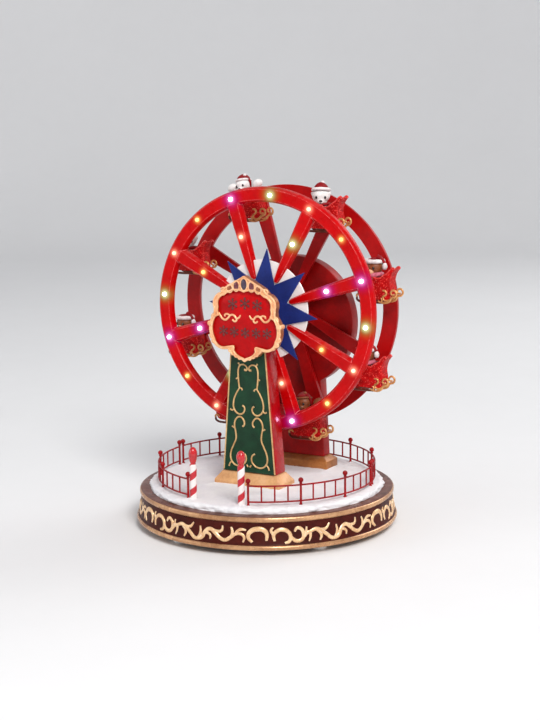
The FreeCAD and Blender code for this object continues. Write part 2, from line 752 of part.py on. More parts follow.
def back_tower():
    """Rear support: a tapering hollow leg under a round head that carries the drive."""
    foot = BACK_LEG_WIDTH / 2
    join = back_leg_half_width(BACK_HEAD_Z - BACK_HEAD_RADIUS)
    join_z = BACK_HEAD_Z - math.sqrt(BACK_HEAD_RADIUS ** 2 - join ** 2)
    head = ((0, BACK_HEAD_Z + BACK_HEAD_RADIUS), (-join, join_z))
    wire = outline((foot, TOWER_FOOT_Z), [(join, join_z), head, (-foot, TOWER_FOOT_Z)], BACK_TOWER_FRONT_Y)
    tower = slab(wire, BACK_TOWER_DEPTH)
    hollow_foot = foot - BACK_TOWER_WALL
    hollow_top = join - BACK_TOWER_WALL
    leg = [
        (-hollow_foot, TOWER_FOOT_Z),
        (hollow_foot, TOWER_FOOT_Z),
        (hollow_top, join_z),
        (-hollow_top, join_z),
    ]
    front = BACK_TOWER_FRONT_Y + BACK_TOWER_WALL
    back = BACK_TOWER_BACK_Y - BACK_TOWER_WALL
    tower = tower.cut(polygon_slab(leg, front, back))
    boss_front = BACK_TOWER_BACK_Y - OVERCUT
    for x, z in ear_screw_places():
        tower = tower.fuse(faceted_bar(BOSS_RADIUS, x, z, boss_front, MOTOR_FRONT_Y, BOSS_SIDES))
    depths = (BACK_TOWER_FRONT_Y - OVERCUT, BACK_TOWER_BACK_Y + OVERCUT)
    holes = [faceted_bar(BUSH_RADIUS, 0, HUB_HEIGHT, depths[0], depths[1], BUSH_SIDES)]
    bore = SCREW_RADIUS + RUNNING_FIT
    for x, z in ear_screw_places():
        holes.append(faceted_bar(bore, x, z, MOTOR_FRONT_Y - SCREW_LENGTH, MOTOR_FRONT_Y, SCREW_SIDES))
    for x, z in lug_places():
        holes.append(faceted_bar(bore, x, z, BACK_TOWER_BACK_Y - SCREW_LENGTH, depths[1], SCREW_SIDES))
    return tower.cut(holes)


def ear_screw_places():
    """Screw places of the gear motor."""
    return [(-EAR_SCREW_OFFSET, EAR_Z), (EAR_SCREW_OFFSET, EAR_Z)]


def lug_places():
    """Screw places of the rear cover."""
    offset = COVER_WIDTH / 2 + LUG_RADIUS - 1.0
    return [(-offset, COVER_Z), (offset, COVER_Z)]


def chamfered_block(half_x, half_z, corner, z_middle, y_front, y_back):
    """Block whose four long edges along Y are cut off."""
    low = z_middle - half_z
    high = z_middle + half_z
    corners = [
        (half_x - corner, low),
        (half_x, low + corner),
        (half_x, high - corner),
        (half_x - corner, high),
        (-half_x + corner, high),
        (-half_x, high - corner),
        (-half_x, low + corner),
        (-half_x + corner, low),
    ]
    return polygon_slab(corners, y_front, y_back)


def housing_cover():
    """Rear cover of the drive, with two screw lugs."""
    half_x = COVER_WIDTH / 2
    half_z = COVER_HEIGHT / 2
    start = BACK_TOWER_BACK_Y
    cover = chamfered_block(half_x, half_z, COVER_CORNER, COVER_Z, start, COVER_END_Y)
    for x, z in lug_places():
        cover = cover.fuse(faceted_bar(LUG_RADIUS, x, z, start, start + LUG_THICKNESS, BOSS_SIDES))
    inner_x = half_x - COVER_WALL
    inner_z = half_z - COVER_WALL
    inner_corner = COVER_CORNER - COVER_WALL
    end = COVER_END_Y - COVER_WALL
    cover = cover.cut(chamfered_block(inner_x, inner_z, inner_corner, COVER_Z, start, end))
    for x, z in lug_places():
        hole_end = start + LUG_THICKNESS
        cover = cover.cut(faceted_bar(SCREW_RADIUS + LOOSE_FIT, x, z, start, hole_end, SCREW_SIDES))
    return cover


def gear_motor():
    """Gear motor with two screw ears and a bore for its shaft."""
    half_x = MOTOR_WIDTH / 2
    half_z = MOTOR_HEIGHT / 2
    back = MOTOR_FRONT_Y + MOTOR_DEPTH
    body = box((-half_x, half_x), (MOTOR_FRONT_Y, back), (PINION_Z - half_z, PINION_Z + half_z))
    ear_y = (MOTOR_FRONT_Y, MOTOR_FRONT_Y + EAR_THICKNESS)
    ear_z = (EAR_Z - EAR_HEIGHT / 2, EAR_Z + EAR_HEIGHT / 2)
    body = body.fuse(box((-EAR_SPAN / 2, EAR_SPAN / 2), ear_y, ear_z))
    for x, z in ear_screw_places():
        body = body.cut(faceted_bar(SCREW_RADIUS + LOOSE_FIT, x, z, ear_y[0], ear_y[1], SCREW_SIDES))
    return body.cut(bar(MOTOR_SHAFT_RADIUS + RUNNING_FIT, 0, PINION_Z, MOTOR_FRONT_Y, back - COVER_WALL))


def involute(angle):
    """Involute function of a pressure angle in radians."""
    return math.tan(angle) - angle


def gear_outline(teeth, first_tooth_angle):
    """Corners of a spur gear, its tooth thickness following the involute at root and tip."""
    pitch = MODULE * teeth / 2
    pressure = math.radians(PRESSURE_ANGLE)
    base = pitch * math.cos(pressure)
    root = pitch - 1.25 * MODULE
    tip = pitch + 0.92 * MODULE
    pitch_half = (math.pi * MODULE / 2 - TOOTH_BACKLASH) / (2 * pitch)
    corners = []
    for tooth in range(teeth):
        centre = math.radians(first_tooth_angle) + 2 * math.pi * tooth / teeth
        flank = []
        for radius in (root, tip):
            local = math.acos(min(1.0, base / radius))
            flank.append((radius, pitch_half + involute(pressure) - involute(local)))
        for radius, half in flank:
            corners.append((radius, centre - half))
        for radius, half in reversed(flank):
            corners.append((radius, centre + half))
    return [(radius * math.cos(angle), radius * math.sin(angle)) for radius, angle in corners]


def wheel_gear():
    """Large gear on the axle, with a tooth gap facing the pinion."""
    half_pitch = 180.0 / WHEEL_TEETH
    corners = gear_outline(WHEEL_TEETH, -90.0 + half_pitch)
    gear = polygon_slab(corners, GEAR_FRONT_Y, GEAR_FRONT_Y + GEAR_WIDTH)
    gear = gear.cut(bar(AXLE_RADIUS, 0, 0, GEAR_FRONT_Y, GEAR_FRONT_Y + GEAR_WIDTH))
    gear.translate(Vector(0, 0, HUB_HEIGHT))
    return gear


def motor_pinion():
    """Small gear and shaft of the motor, with a tooth facing the large gear."""
    corners = gear_outline(PINION_TEETH, 90.0)
    pinion = polygon_slab(corners, GEAR_FRONT_Y, GEAR_FRONT_Y + GEAR_WIDTH)
    shaft_end = MOTOR_FRONT_Y + MOTOR_DEPTH - COVER_WALL - LOOSE_FIT
    pinion = pinion.fuse(bar(MOTOR_SHAFT_RADIUS, 0, 0, GEAR_FRONT_Y - 0.8, shaft_end))
    pinion.translate(Vector(0, 0, PINION_Z))
    return pinion


def axle():
    """Hollow axle; the lamp wires run inside it."""
    tube = bar(AXLE_RADIUS, 0, HUB_HEIGHT, AXLE_FRONT_Y, AXLE_BACK_Y)
    return tube.cut(bar(AXLE_BORE_RADIUS, 0, HUB_HEIGHT, AXLE_FRONT_Y, AXLE_BACK_Y))


def axle_bushes():
    """A plain bush in each tower."""
    bushes = []
    boss_back_y = TOWER_BACK_Y + TOWER_BOSS_LENGTH
    for y_front, y_back in ((AXLE_FRONT_Y, boss_back_y), (BACK_TOWER_FRONT_Y, BACK_TOWER_BACK_Y)):
        bush = faceted_bar(BUSH_RADIUS, 0, HUB_HEIGHT, y_front, y_back, BUSH_SIDES)
        bushes.append(bush.cut(bar(AXLE_RADIUS + RUNNING_FIT, 0, HUB_HEIGHT, y_front, y_back)))
    return Part.makeCompound(bushes)


def slip_ring():
    """Brass ring on the axle."""
    ring = bar(SLIP_RING_RADIUS, 0, HUB_HEIGHT, SLIP_RING_Y, SLIP_RING_Y + SLIP_RING_WIDTH)
    return ring.cut(bar(AXLE_RADIUS, 0, HUB_HEIGHT, SLIP_RING_Y, SLIP_RING_Y + SLIP_RING_WIDTH))


def slip_brushes():
    """Block with two leaves: one on the slip ring, one on the axle's end."""
    block_x = (BRUSH_BLOCK_X, BRUSH_BLOCK_X + BRUSH_BLOCK_SIZE)
    block_z = (HUB_HEIGHT - BRUSH_BLOCK_HEIGHT / 2, HUB_HEIGHT + BRUSH_BLOCK_HEIGHT / 2)
    brushes = box(block_x, (BACK_TOWER_BACK_Y, AXLE_BACK_Y), block_z)
    ring_middle = SLIP_RING_Y + SLIP_RING_WIDTH / 2
    contacts = [(SLIP_RING_RADIUS, ring_middle), (AXLE_RADIUS, AXLE_BACK_Y - BRUSH_WIDTH / 2)]
    for radius, y in contacts:
        low = HUB_HEIGHT + radius + BRUSH_GAP
        leaf_y = (y - BRUSH_WIDTH / 2, y + BRUSH_WIDTH / 2)
        brushes = brushes.fuse(box((-1.5, BRUSH_BLOCK_X + 1), leaf_y, (low, low + BRUSH_THICKNESS)))
    return brushes


def spoke_section(radius, width, front_y):
    """Crowned cross-section of a spoke at a distance from the hub."""
    half = width / 2
    crown = half * CROWN_SHARE
    return [
        Vector(radius, RING_BACK_Y, -half),
        Vector(radius, front_y, -crown),
        Vector(radius, front_y, crown),
        Vector(radius, RING_BACK_Y, half),
    ]


def spoke(sections, angle):
    """Spoke through its sections, turned into place."""
    shape = ring_solid([spoke_section(*section) for section in sections])
    shape.rotate(ORIGIN, BACKWARD, -angle)
    return shape


def wheel_ring(sections):
    """Crowned rim with its spokes, about the origin's height."""
    rim = turned_about_wheel([
        (RIM_INNER_RADIUS, RING_BACK_Y),
        (RIM_INNER_RADIUS + CROWN_INSET, RING_FRONT_Y),
        (RIM_OUTER_RADIUS - CROWN_INSET, RING_FRONT_Y),
        (RIM_OUTER_RADIUS, RING_BACK_Y),
    ])
    rim_end = (RIM_INNER_RADIUS + CROWN_INSET + OVERCUT, SPOKE_RIM_WIDTH, RING_FRONT_Y)
    spokes = [spoke(sections + [rim_end], spoke_angle(number)) for number in range(SPOKE_COUNT)]
    return rim.multiFuse(spokes).removeSplitter()


def front_ring():
    """Front rim; its spokes step over the white disc, and it carries the lamps."""
    sections = [
        (SPOKE_TIP_RADIUS, SPOKE_TIP_WIDTH, RING_FRONT_Y + SPOKE_TIP_DROP),
        (SPOKE_NECK_RADIUS, SPOKE_NECK_WIDTH, RING_FRONT_Y + SPOKE_NECK_DROP),
        (DISC_RADIUS, SPOKE_DISC_WIDTH, RING_FRONT_Y),
    ]
    ring = wheel_ring(sections)
    cuts = [bar(DISC_RADIUS + LOOSE_FIT, 0, 0, DISC_FRONT_Y, RING_BACK_Y + OVERCUT)]
    hole_back = RING_FRONT_Y + LAMP_SEAT_DEPTH
    for radius, angle in lamp_places():
        x, z = polar(radius, angle)
        bore = LAMP_RADIUS + RUNNING_FIT
        cuts.append(faceted_bar(bore, x, z, RING_FRONT_Y - OVERCUT, hole_back, LAMP_SIDES))
    ring = ring.cut(cuts + rod_holes())
    ring.translate(Vector(0, 0, HUB_HEIGHT))
    return ring


def rod_holes():
    """Blind holes for the hanger rods in the back of a rim."""
    holes = []
    for number in range(SPOKE_COUNT):
        x, z = polar(LAMP_CIRCLE, spoke_angle(number))
        depth_y = RING_BACK_Y - ROD_SEAT_DEPTH
        bore = corner_radius(ROD_RADIUS + RUNNING_FIT, ROD_HOLE_SIDES)
        holes.append(faceted_bar(bore, x, z, depth_y, RING_BACK_Y + OVERCUT, ROD_HOLE_SIDES))
    return holes


def back_ring():
    """Rear rim, the front one turned about, with spokes that meet in a hub boss."""
    sections = [(AXLE_RADIUS + 1.0, SPOKE_NECK_WIDTH, RING_FRONT_Y + SPOKE_TIP_DROP)]
    ring = wheel_ring(sections)
    ring = ring.fuse(bar(BACK_BOSS_RADIUS, 0, 0, RING_BACK_Y - BACK_BOSS_DEPTH, RING_BACK_Y))
    axle_hole = bar(AXLE_RADIUS, 0, 0, RING_FRONT_Y - OVERCUT, RING_BACK_Y + OVERCUT)
    ring = ring.cut([axle_hole] + rod_holes())
    ring.translate(Vector(0, 0, HUB_HEIGHT))
    return ring.mirror(Vector(0, WHEEL_MIDDLE_Y, 0), BACKWARD)


def lamp_places():
    """(radius, angle) of every lamp: on the spokes, between them, and halfway along them."""
    places = []
    for number in range(SPOKE_COUNT):
        places.append((LAMP_CIRCLE, spoke_angle(number)))
        places.append((LAMP_CIRCLE, spoke_angle(number + 0.5)))
        places.append((MID_LAMP_CIRCLE, spoke_angle(number)))
    return places


def lamp(radius, angle):
    """Small lamp: a straight body and a domed tip."""
    x, z = wheel_point(radius, angle)
    seat_y = RING_FRONT_Y + LAMP_SEAT_DEPTH
    shoulder_y = seat_y - LAMP_BODY_LENGTH
    return ring_solid([
        upright_ring(x, seat_y, z, LAMP_RADIUS, LAMP_SIDES),
        upright_ring(x, shoulder_y, z, LAMP_RADIUS, LAMP_SIDES),
        upright_ring(x, shoulder_y - LAMP_TIP_LENGTH, z, LAMP_RADIUS / 2, LAMP_SIDES),
    ])


def lamps(rim_spokes, rim_gaps, mid_spokes):
    """Lamps of one colour, by spoke number."""
    places = [(LAMP_CIRCLE, spoke_angle(number)) for number in rim_spokes]
    places += [(LAMP_CIRCLE, spoke_angle(number + 0.5)) for number in rim_gaps]
    places += [(MID_LAMP_CIRCLE, spoke_angle(number)) for number in mid_spokes]
    return Part.makeCompound([lamp(radius, angle) for radius, angle in places])


def star():
    """Flat star with a point midway between each pair of spokes."""
    corners = []
    for number in range(SPOKE_COUNT):
        corners.append(wheel_point(STAR_VALLEY_RADIUS, spoke_angle(number)))
        corners.append(wheel_point(STAR_TIP_RADIUS, spoke_angle(number + 0.5)))
    shape = polygon_slab(corners, DISC_FRONT_Y - STAR_THICKNESS, DISC_FRONT_Y)
    return shape.cut(bar(AXLE_RADIUS, 0, HUB_HEIGHT, DISC_FRONT_Y - STAR_THICKNESS, DISC_FRONT_Y))


def hub_disc():
    """White disc behind the star."""
    disc = bar(DISC_RADIUS, 0, HUB_HEIGHT, DISC_FRONT_Y, DISC_BACK_Y)
    return disc.cut(bar(AXLE_RADIUS, 0, HUB_HEIGHT, DISC_FRONT_Y, DISC_BACK_Y))


def hub_sleeve():
    """Tube on the axle that holds the disc and the rear rim apart."""
    tube = faceted_bar(SLEEVE_RADIUS, 0, HUB_HEIGHT, DISC_BACK_Y, BACK_RING_Y, SLEEVE_SIDES)
    return tube.cut(bar(AXLE_RADIUS, 0, HUB_HEIGHT, DISC_BACK_Y, BACK_RING_Y))


def hanger_rods():
    """Eight rods across the wheel, seated in both rims."""
    rods = []
    for number in range(SPOKE_COUNT):
        x, z = wheel_point(LAMP_CIRCLE, spoke_angle(number))
        start = RING_BACK_Y - ROD_SEAT_DEPTH
        end = BACK_RING_Y + ROD_SEAT_DEPTH
        rods.append(bar(ROD_RADIUS, x, z, start, end))
    return Part.makeCompound(rods)


SIGN_TOP = (0.0, 32.5)
SIGN_RIGHT_SIDE = [
    ((10.5, 26.4), (18.8, 21.8)),
    (22.0, 17.6),
    ((27.6, 11.0), (28.7, 2.6)),
    (33.0, -4.6),
    ((35.9, -15.2), (31.4, -24.4)),
    ((25.4, -29.5), (17.6, -28.4)),
    (13.2, -27.6),
    ((8.6, -34.4), (0.0, -37.3)),
]
WINDOW_TOP = (0.0, 18.2)
WINDOW_RIGHT_SIDE = [
    ((15.4, 15.5), (23.4, 6.8)),
    ((24.6, 2.6), (23.0, -1.0)),
    (26.8, -2.8),
    ((30.4, -12.6), (27.6, -22.2)),
    ((22.6, -26.0), (15.2, -25.0)),
    (10.4, -25.0),
    ((6.8, -31.2), (0.0, -34.0)),
]


def raised_to_hub(shape):
    """Shape drawn about the wheel's axis, lifted to its height."""
    shape.translate(Vector(0, 0, HUB_HEIGHT))
    return shape


def cell_outline(cell, y):
    """Eight-sided cell of the crown."""
    x, z, half_x, half_z = cell
    corners = []
    for index in range(8):
        angle = math.radians(22.5 + 45.0 * index)
        corners.append((x + half_x * math.cos(angle), z + half_z * math.sin(angle)))
    return outline(corners[0], corners[1:], y)


def crown_cells():
    """All five cells: the middle one, and two on each side."""
    cells = [CELLS[0]]
    for x, z, half_x, half_z in CELLS[1:]:
        cells.append((x, z, half_x, half_z))
        cells.append((-x, z, half_x, half_z))
    return cells


def sign_frame():
    """Scrolled frame with a crown, open for the board and for five cells."""
    depth = SIGN_BACK_Y - SIGN_FRONT_Y
    frame = slab(outline(SIGN_TOP, mirrored_steps(SIGN_TOP, SIGN_RIGHT_SIDE), SIGN_FRONT_Y), depth)
    window = outline(WINDOW_TOP, mirrored_steps(WINDOW_TOP, WINDOW_RIGHT_SIDE), SIGN_FRONT_Y)
    frame = frame.cut(slab(window, depth))
    knobs = []
    for x, z in KNOB_PLACES:
        for side in (-1, 1):
            knobs.append(faceted_bar(KNOB_RADIUS, side * x, z, SIGN_FRONT_Y - KNOB_RISE, SIGN_BACK_Y, 8))
    frame = frame.multiFuse(knobs)
    cells = [slab(cell_outline(cell, SIGN_FRONT_Y), depth) for cell in crown_cells()]
    return raised_to_hub(frame.cut(cells))


def sign_board():
    """Board that fills the frame's window, set back from its face."""
    window = outline(WINDOW_TOP, mirrored_steps(WINDOW_TOP, WINDOW_RIGHT_SIDE), SIGN_FRONT_Y + BOARD_RECESS)
    return raised_to_hub(slab(window, SIGN_BACK_Y - SIGN_FRONT_Y - BOARD_RECESS))


def sign_jewels():
    """Coloured cells of the crown."""
    jewels = []
    for cell in crown_cells():
        wire = cell_outline(cell, SIGN_FRONT_Y + JEWEL_RECESS)
        jewels.append(slab(wire, SIGN_BACK_Y - SIGN_FRONT_Y - JEWEL_RECESS))
    return raised_to_hub(Part.makeCompound(jewels))


def arc_points(centre, radius, first, last, count):
    """Points along an arc, its ends included."""
    points = []
    for index in range(count):
        dx, dz = polar(radius, first + (last - first) * index / (count - 1))
        points.append((centre[0] + dx, centre[1] + dz))
    return points


def runner_points():
    """Side view of a runner: curled front, straight sole, a scroll behind and two struts."""
    scroll_outer = arc_points(SCROLL_OFFSET, SCROLL_OUTER_RADIUS, -70, 190, 6)
    scroll_inner = arc_points(SCROLL_OFFSET, SCROLL_INNER_RADIUS, 190, -90, 5)
    sole = [(-15.6, -16.6), (-13.4, -21.0), (-9.6, -23.0), (12.6, -23.0), (17.0, -20.0)]
    top = [(12.2, RUNNER_TOP)]
    for x in STRUT_PLACES:
        foot = [(x + STRUT_WIDTH / 2, RUNNER_TOP), (x + STRUT_WIDTH / 2, STRUT_TOP)]
        top += foot + [(x - STRUT_WIDTH / 2, STRUT_TOP), (x - STRUT_WIDTH / 2, RUNNER_TOP)]
    return sole + scroll_outer + scroll_inner + top + [(-8.8, RUNNER_TOP), (-13.6, -16.0)]


def car_shape(middle_y):
    """Sleigh about its hanger rod: hollow body with an ear on each wall, and two runners."""
    ear = arc_points((0, 0), EAR_RADIUS, 180, 0, 4)
    nose = [(-7.6, -17.2), (-11.6, -15.6), (-13.4, -11.6), (-13.4, -5.2), (-10.4, -4.4)]
    neck = [(-EAR_RADIUS, -3.4)]
    back = [(EAR_RADIUS, -0.9), (9.6, 2.9), (13.6, 5.5), (16.6, 8.6), (18.8, 9.6), (19.8, 8.2)]
    tail = [(16.4, 3.0), (15.6, -2.0), (16.6, -9.0), (14.4, -17.2)]
    half = CAR_WIDTH / 2
    y_front = middle_y - half
    body = polygon_slab(nose + neck + ear + back + tail, y_front, y_front + CAR_WIDTH)
    seat = [(-9.0, -14.8), (12.4, -14.8), (14.4, -8.6), (13.6, -2.0), (14.4, 3.2), (17.6, 8.4)]
    rim = [(17.4, 14.0), (-11.0, 14.0), (-11.0, -5.6)]
    body = body.cut(polygon_slab(seat + rim, y_front + CAR_WALL, middle_y + half - CAR_WALL))
    runners = []
    for side_sign in (-1, 1):
        runner_y = middle_y + side_sign * RUNNER_SPREAD / 2 - RUNNER_THICKNESS / 2
        runners.append(polygon_slab(runner_points(), runner_y, runner_y + RUNNER_THICKNESS))
    body = body.multiFuse(runners)
    bore = corner_radius(CAR_BORE_RADIUS, ROD_HOLE_SIDES)
    back = middle_y + half + OVERCUT
    return body.cut(faceted_bar(bore, 0, 0, y_front - OVERCUT, back, ROD_HOLE_SIDES))


def rider_shape(middle_y, paws_up):
    """Seated figure with a hat; its middle is bored for the rod."""
    figure = faceted_form([
        (1.5, middle_y, -14.7, 6.0, 4.4),
        (-0.2, middle_y, 2.8, 4.6, 4.4),
        (-0.9, middle_y, HEAD_RISE, 7.6, HEAD_RADIUS),
        (-1.0, middle_y, 13.6, 7.6, 7.2),
        (-1.0, middle_y, 17.4, 5.0, 4.8),
        (0.0, middle_y, HAT_RISE, 1.6, 1.6),
    ], RIDER_SIDES)
    if paws_up:
        for side, rise in ((-1, 0.0), (1, 3.6)):
            figure = figure.fuse(faceted_form([
                (side * 3.4, middle_y, 1.4 + rise, 2.4, 2.0),
                (side * 7.6, middle_y, 4.2 + rise, 2.4, 2.2),
                (side * 11.2, middle_y, 7.6 + rise, 2.8, 2.6),
                (side * 12.6, middle_y, 11.4 + rise, 1.4, 1.4),
            ], RIDER_SIDES))
    bore = corner_radius(CAR_BORE_RADIUS + LOOSE_FIT, ROD_HOLE_SIDES)
    reach = CAR_WIDTH / 2
    return figure.cut(faceted_bar(bore, 0, 0, middle_y - reach, middle_y + reach, ROD_HOLE_SIDES))


def battery_box():
    """Open-bottomed box over the battery opening."""
    half_x, half_y = battery_half_sizes()
    height = 2 * CELL_RADIUS + 2.0
    top = PLATE_TOP_Z + height
    wall = BATTERY_WALL
    outer_y = (BATTERY_Y - half_y - wall, BATTERY_Y + half_y + wall)
    shell = box((-half_x - wall, half_x + wall), outer_y, (PLATE_TOP_Z, top + wall))
    return shell.cut(box((-half_x, half_x), (BATTERY_Y - half_y, BATTERY_Y + half_y), (PLATE_TOP_Z, top)))


def battery_cells():
    """Three round cells side by side."""
    cells = []
    z = PLATE_TOP_Z + CELL_RADIUS
    for index in range(CELL_COUNT):
        x = (index - (CELL_COUNT - 1) / 2) * CELL_PITCH
        start = BATTERY_Y - CELL_LENGTH / 2
        cells.append(faceted_bar(CELL_RADIUS, x, z, start, start + CELL_LENGTH, CELL_SIDES))
    return Part.makeCompound(cells)


def battery_door():
    """Door that closes the battery opening, with a row of finger ribs."""
    half_x, half_y = battery_half_sizes()
    y_range = (BATTERY_Y - half_y + LOOSE_FIT, BATTERY_Y + half_y - LOOSE_FIT)
    door = box((-half_x + LOOSE_FIT, half_x - LOOSE_FIT), y_range, (FOOT_HEIGHT, PLATE_TOP_Z))
    for index in range(3):
        y = BATTERY_Y - half_y + 4.0 + 2.4 * index
        door = door.fuse(box((-7.0, 7.0), (y, y + 1.0), (FOOT_HEIGHT - 0.6, FOOT_HEIGHT)))
    return door


def speaker():
    """Round speaker that faces down through the grille."""
    frame_top = PLATE_TOP_Z + SPEAKER_FRAME
    frame = faceted_post(SPEAKER_RADIUS, 0, SPEAKER_Y, PLATE_TOP_Z, frame_top, SPEAKER_SIDES)
    magnet_top = PLATE_TOP_Z + MAGNET_HEIGHT
    return frame.fuse(faceted_post(MAGNET_RADIUS, 0, SPEAKER_Y, frame_top, magnet_top, SPEAKER_SIDES))


def control_board():
    """Circuit board on its posts, with a chip and a capacitor block."""
    x, y = BOARD_PLACE
    size_x, size_y, thickness = BOARD_SIZE
    low = PLATE_TOP_Z + BOARD_STANDOFF
    top = low + thickness
    x_range = (x - size_x / 2, x + size_x / 2)
    board = box(x_range, (y - size_y / 2, y + size_y / 2), (low, top))
    board = board.fuse(box((x - 5, x + 5), (y - 6, y + 2), (top, top + 2.0)))
    return board.fuse(box((x + 4, x + 9), (y + 8, y + 13), (top, top + 6.0)))


def power_switch():
    """Body of the slide switch, hollow for its knob."""
    x, y = SWITCH_PLACE
    length, width, height = SWITCH_BODY
    z_range = (PLATE_TOP_Z, PLATE_TOP_Z + height)
    body = box((x - length / 2, x + length / 2), (y - width / 2, y + width / 2), z_range)
    slot_half = (SWITCH_TRAVEL + KNOB_LENGTH) / 2 + LOOSE_FIT
    slot_wide = KNOB_WIDTH / 2 + LOOSE_FIT
    slot_y = (y - slot_wide, y + slot_wide)
    return body.cut(box((x - slot_half, x + slot_half), slot_y, (PLATE_TOP_Z, z_range[1] - 2.0)))


def switch_knob():
    """Knob of the slide switch, at the near end of its travel."""
    x, y = SWITCH_PLACE
    start = x - (SWITCH_TRAVEL + KNOB_LENGTH) / 2
    y_range = (y - KNOB_WIDTH / 2, y + KNOB_WIDTH / 2)
    top = PLATE_TOP_Z + SWITCH_BODY[2] - 2.0 - LOOSE_FIT
    return box((start, start + KNOB_LENGTH), y_range, (FOOT_HEIGHT - KNOB_DROP, top))


def screw(seat, direction):
    """Pan-head screw: its head lies behind the seat and its shank runs along direction."""
    if direction == UP:
        low = seat.z - SCREW_HEAD_HEIGHT
        high = seat.z + SCREW_LENGTH
        head = faceted_post(SCREW_HEAD_RADIUS, seat.x, seat.y, low, seat.z, SCREW_SIDES)
        return head.fuse(faceted_post(SCREW_RADIUS, seat.x, seat.y, seat.z, high, SCREW_SIDES))
    head = faceted_bar(SCREW_HEAD_RADIUS, seat.x, seat.z, seat.y, seat.y + SCREW_HEAD_HEIGHT, SCREW_SIDES)
    return head.fuse(faceted_bar(SCREW_RADIUS, seat.x, seat.z, seat.y - SCREW_LENGTH, seat.y, SCREW_SIDES))


def case_screws():
    """All fixing screws: base plate, motor ears and rear cover."""
    screws = [screw(Vector(x, y, FOOT_HEIGHT), UP) for x, y in boss_places()]
    forward = Vector(0, -1, 0)
    for x, z in ear_screw_places():
        screws.append(screw(Vector(x, MOTOR_FRONT_Y + EAR_THICKNESS, z), forward))
    for x, z in lug_places():
        screws.append(screw(Vector(x, BACK_TOWER_BACK_Y + LUG_THICKNESS, z), forward))
    return Part.makeCompound(screws)


def placed_on_rod(shape, number):
    """Copy of a car's piece, hung on one of the rods."""
    x, z = wheel_point(LAMP_CIRCLE, spoke_angle(number))
    copy = shape.copy()
    copy.translate(Vector(x, 0, z))
    return copy


def make_nodes():
    """Every node of the object by name."""
    nodes = {
        "base_shell": base_shell(),
        "base_plate": base_plate(),
        "base_feet": base_feet(),
        "snow_deck": snow_deck(),
        "battery_box": battery_box(),
        "battery_cells": battery_cells(),
        "battery_door": battery_door(),
        "case_screws": case_screws(),
        "speaker": speaker(),
        "control_board": control_board(),
        "power_switch": power_switch(),
        "switch_knob": switch_knob(),
        "front_tower": front_tower(),
        "front_panel": front_panel(),
        "front_plinth": front_plinth(),
        "back_tower": back_tower(),
        "back_plinth": back_plinth(),
        "housing_cover": housing_cover(),
        "gear_motor": gear_motor(),
        "motor_pinion": motor_pinion(),
        "axle_bushes": axle_bushes(),
        "sign_board": sign_board(),
        "sign_frame": sign_frame(),
        "sign_jewels": sign_jewels(),
        "candy_poles": candy_poles(),
        "pole_lamps": pole_lamps(),
        "slip_brushes": slip_brushes(),
        "front_ring": front_ring(),
        "back_ring": back_ring(),
        "star": star(),
        "hub_disc": hub_disc(),
        "hub_sleeve": hub_sleeve(),
        "axle": axle(),
        "wheel_gear": wheel_gear(),
        "slip_rings": slip_ring(),
        "hanger_rods": hanger_rods(),
        "lamps_warm": lamps((1, 3, 5, 7), (), (0, 4)),
        "lamps_amber": lamps((), (1, 3, 5, 7), (3, 7)),
        "lamps_pink": lamps((0, 2, 4, 6), (), (2, 6)),
        "lamps_white": lamps((), (0, 2, 4, 6), (1, 5)),
    }
    for section, name in enumerate(FENCE_NAMES):
        nodes[name] = fence(section)
    sleigh = car_shape(WHEEL_MIDDLE_Y)
    riders = {True: rider_shape(WHEEL_MIDDLE_Y, True), False: rider_shape(WHEEL_MIDDLE_Y, False)}
    for number in range(CAR_COUNT):
        nodes["sleigh_%d" % (number + 1)] = placed_on_rod(sleigh, number)
        waving = number % 4 == 0
        nodes["rider_%d" % (number + 1)] = placed_on_rod(riders[waving], number)
    return nodes


def main():
    """Write one file per node."""
    os.makedirs("parts", exist_ok=True)
    for name, shape in make_nodes().items():
        shape.exportStep("parts/%s.step" % name)


main()
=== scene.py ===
"""Looks of the lit ferris wheel: rounded, carved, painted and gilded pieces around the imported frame."""

import logging
import math
from dataclasses import dataclass
from enum import Enum
from functools import lru_cache
from typing import Callable, Iterable, Sequence

import bpy
from mathutils import Matrix, Vector, noise

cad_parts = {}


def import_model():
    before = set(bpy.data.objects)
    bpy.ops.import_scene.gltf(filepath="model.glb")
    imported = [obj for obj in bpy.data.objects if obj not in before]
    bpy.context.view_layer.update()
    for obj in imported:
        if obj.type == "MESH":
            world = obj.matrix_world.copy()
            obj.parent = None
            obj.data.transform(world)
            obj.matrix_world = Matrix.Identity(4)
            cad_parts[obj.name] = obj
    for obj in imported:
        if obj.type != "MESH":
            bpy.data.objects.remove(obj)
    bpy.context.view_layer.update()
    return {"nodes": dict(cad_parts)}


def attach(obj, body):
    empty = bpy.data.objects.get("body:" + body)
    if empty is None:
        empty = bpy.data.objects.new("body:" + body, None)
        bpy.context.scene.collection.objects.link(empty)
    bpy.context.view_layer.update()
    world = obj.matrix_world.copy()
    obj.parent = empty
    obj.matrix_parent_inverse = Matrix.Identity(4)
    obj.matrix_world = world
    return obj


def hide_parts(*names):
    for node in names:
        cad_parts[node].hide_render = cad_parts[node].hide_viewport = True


LOG = logging.getLogger("ferris_wheel")
MM = 0.001
Piece = bpy.types.Object
Socket = bpy.types.NodeSocket
Point = tuple[float, float]
Place = tuple[float, float, float]
Knot = tuple[float, float, float]
Colour = tuple[float, float, float, float]
Outline = Sequence[Point | tuple[Point, Point]]

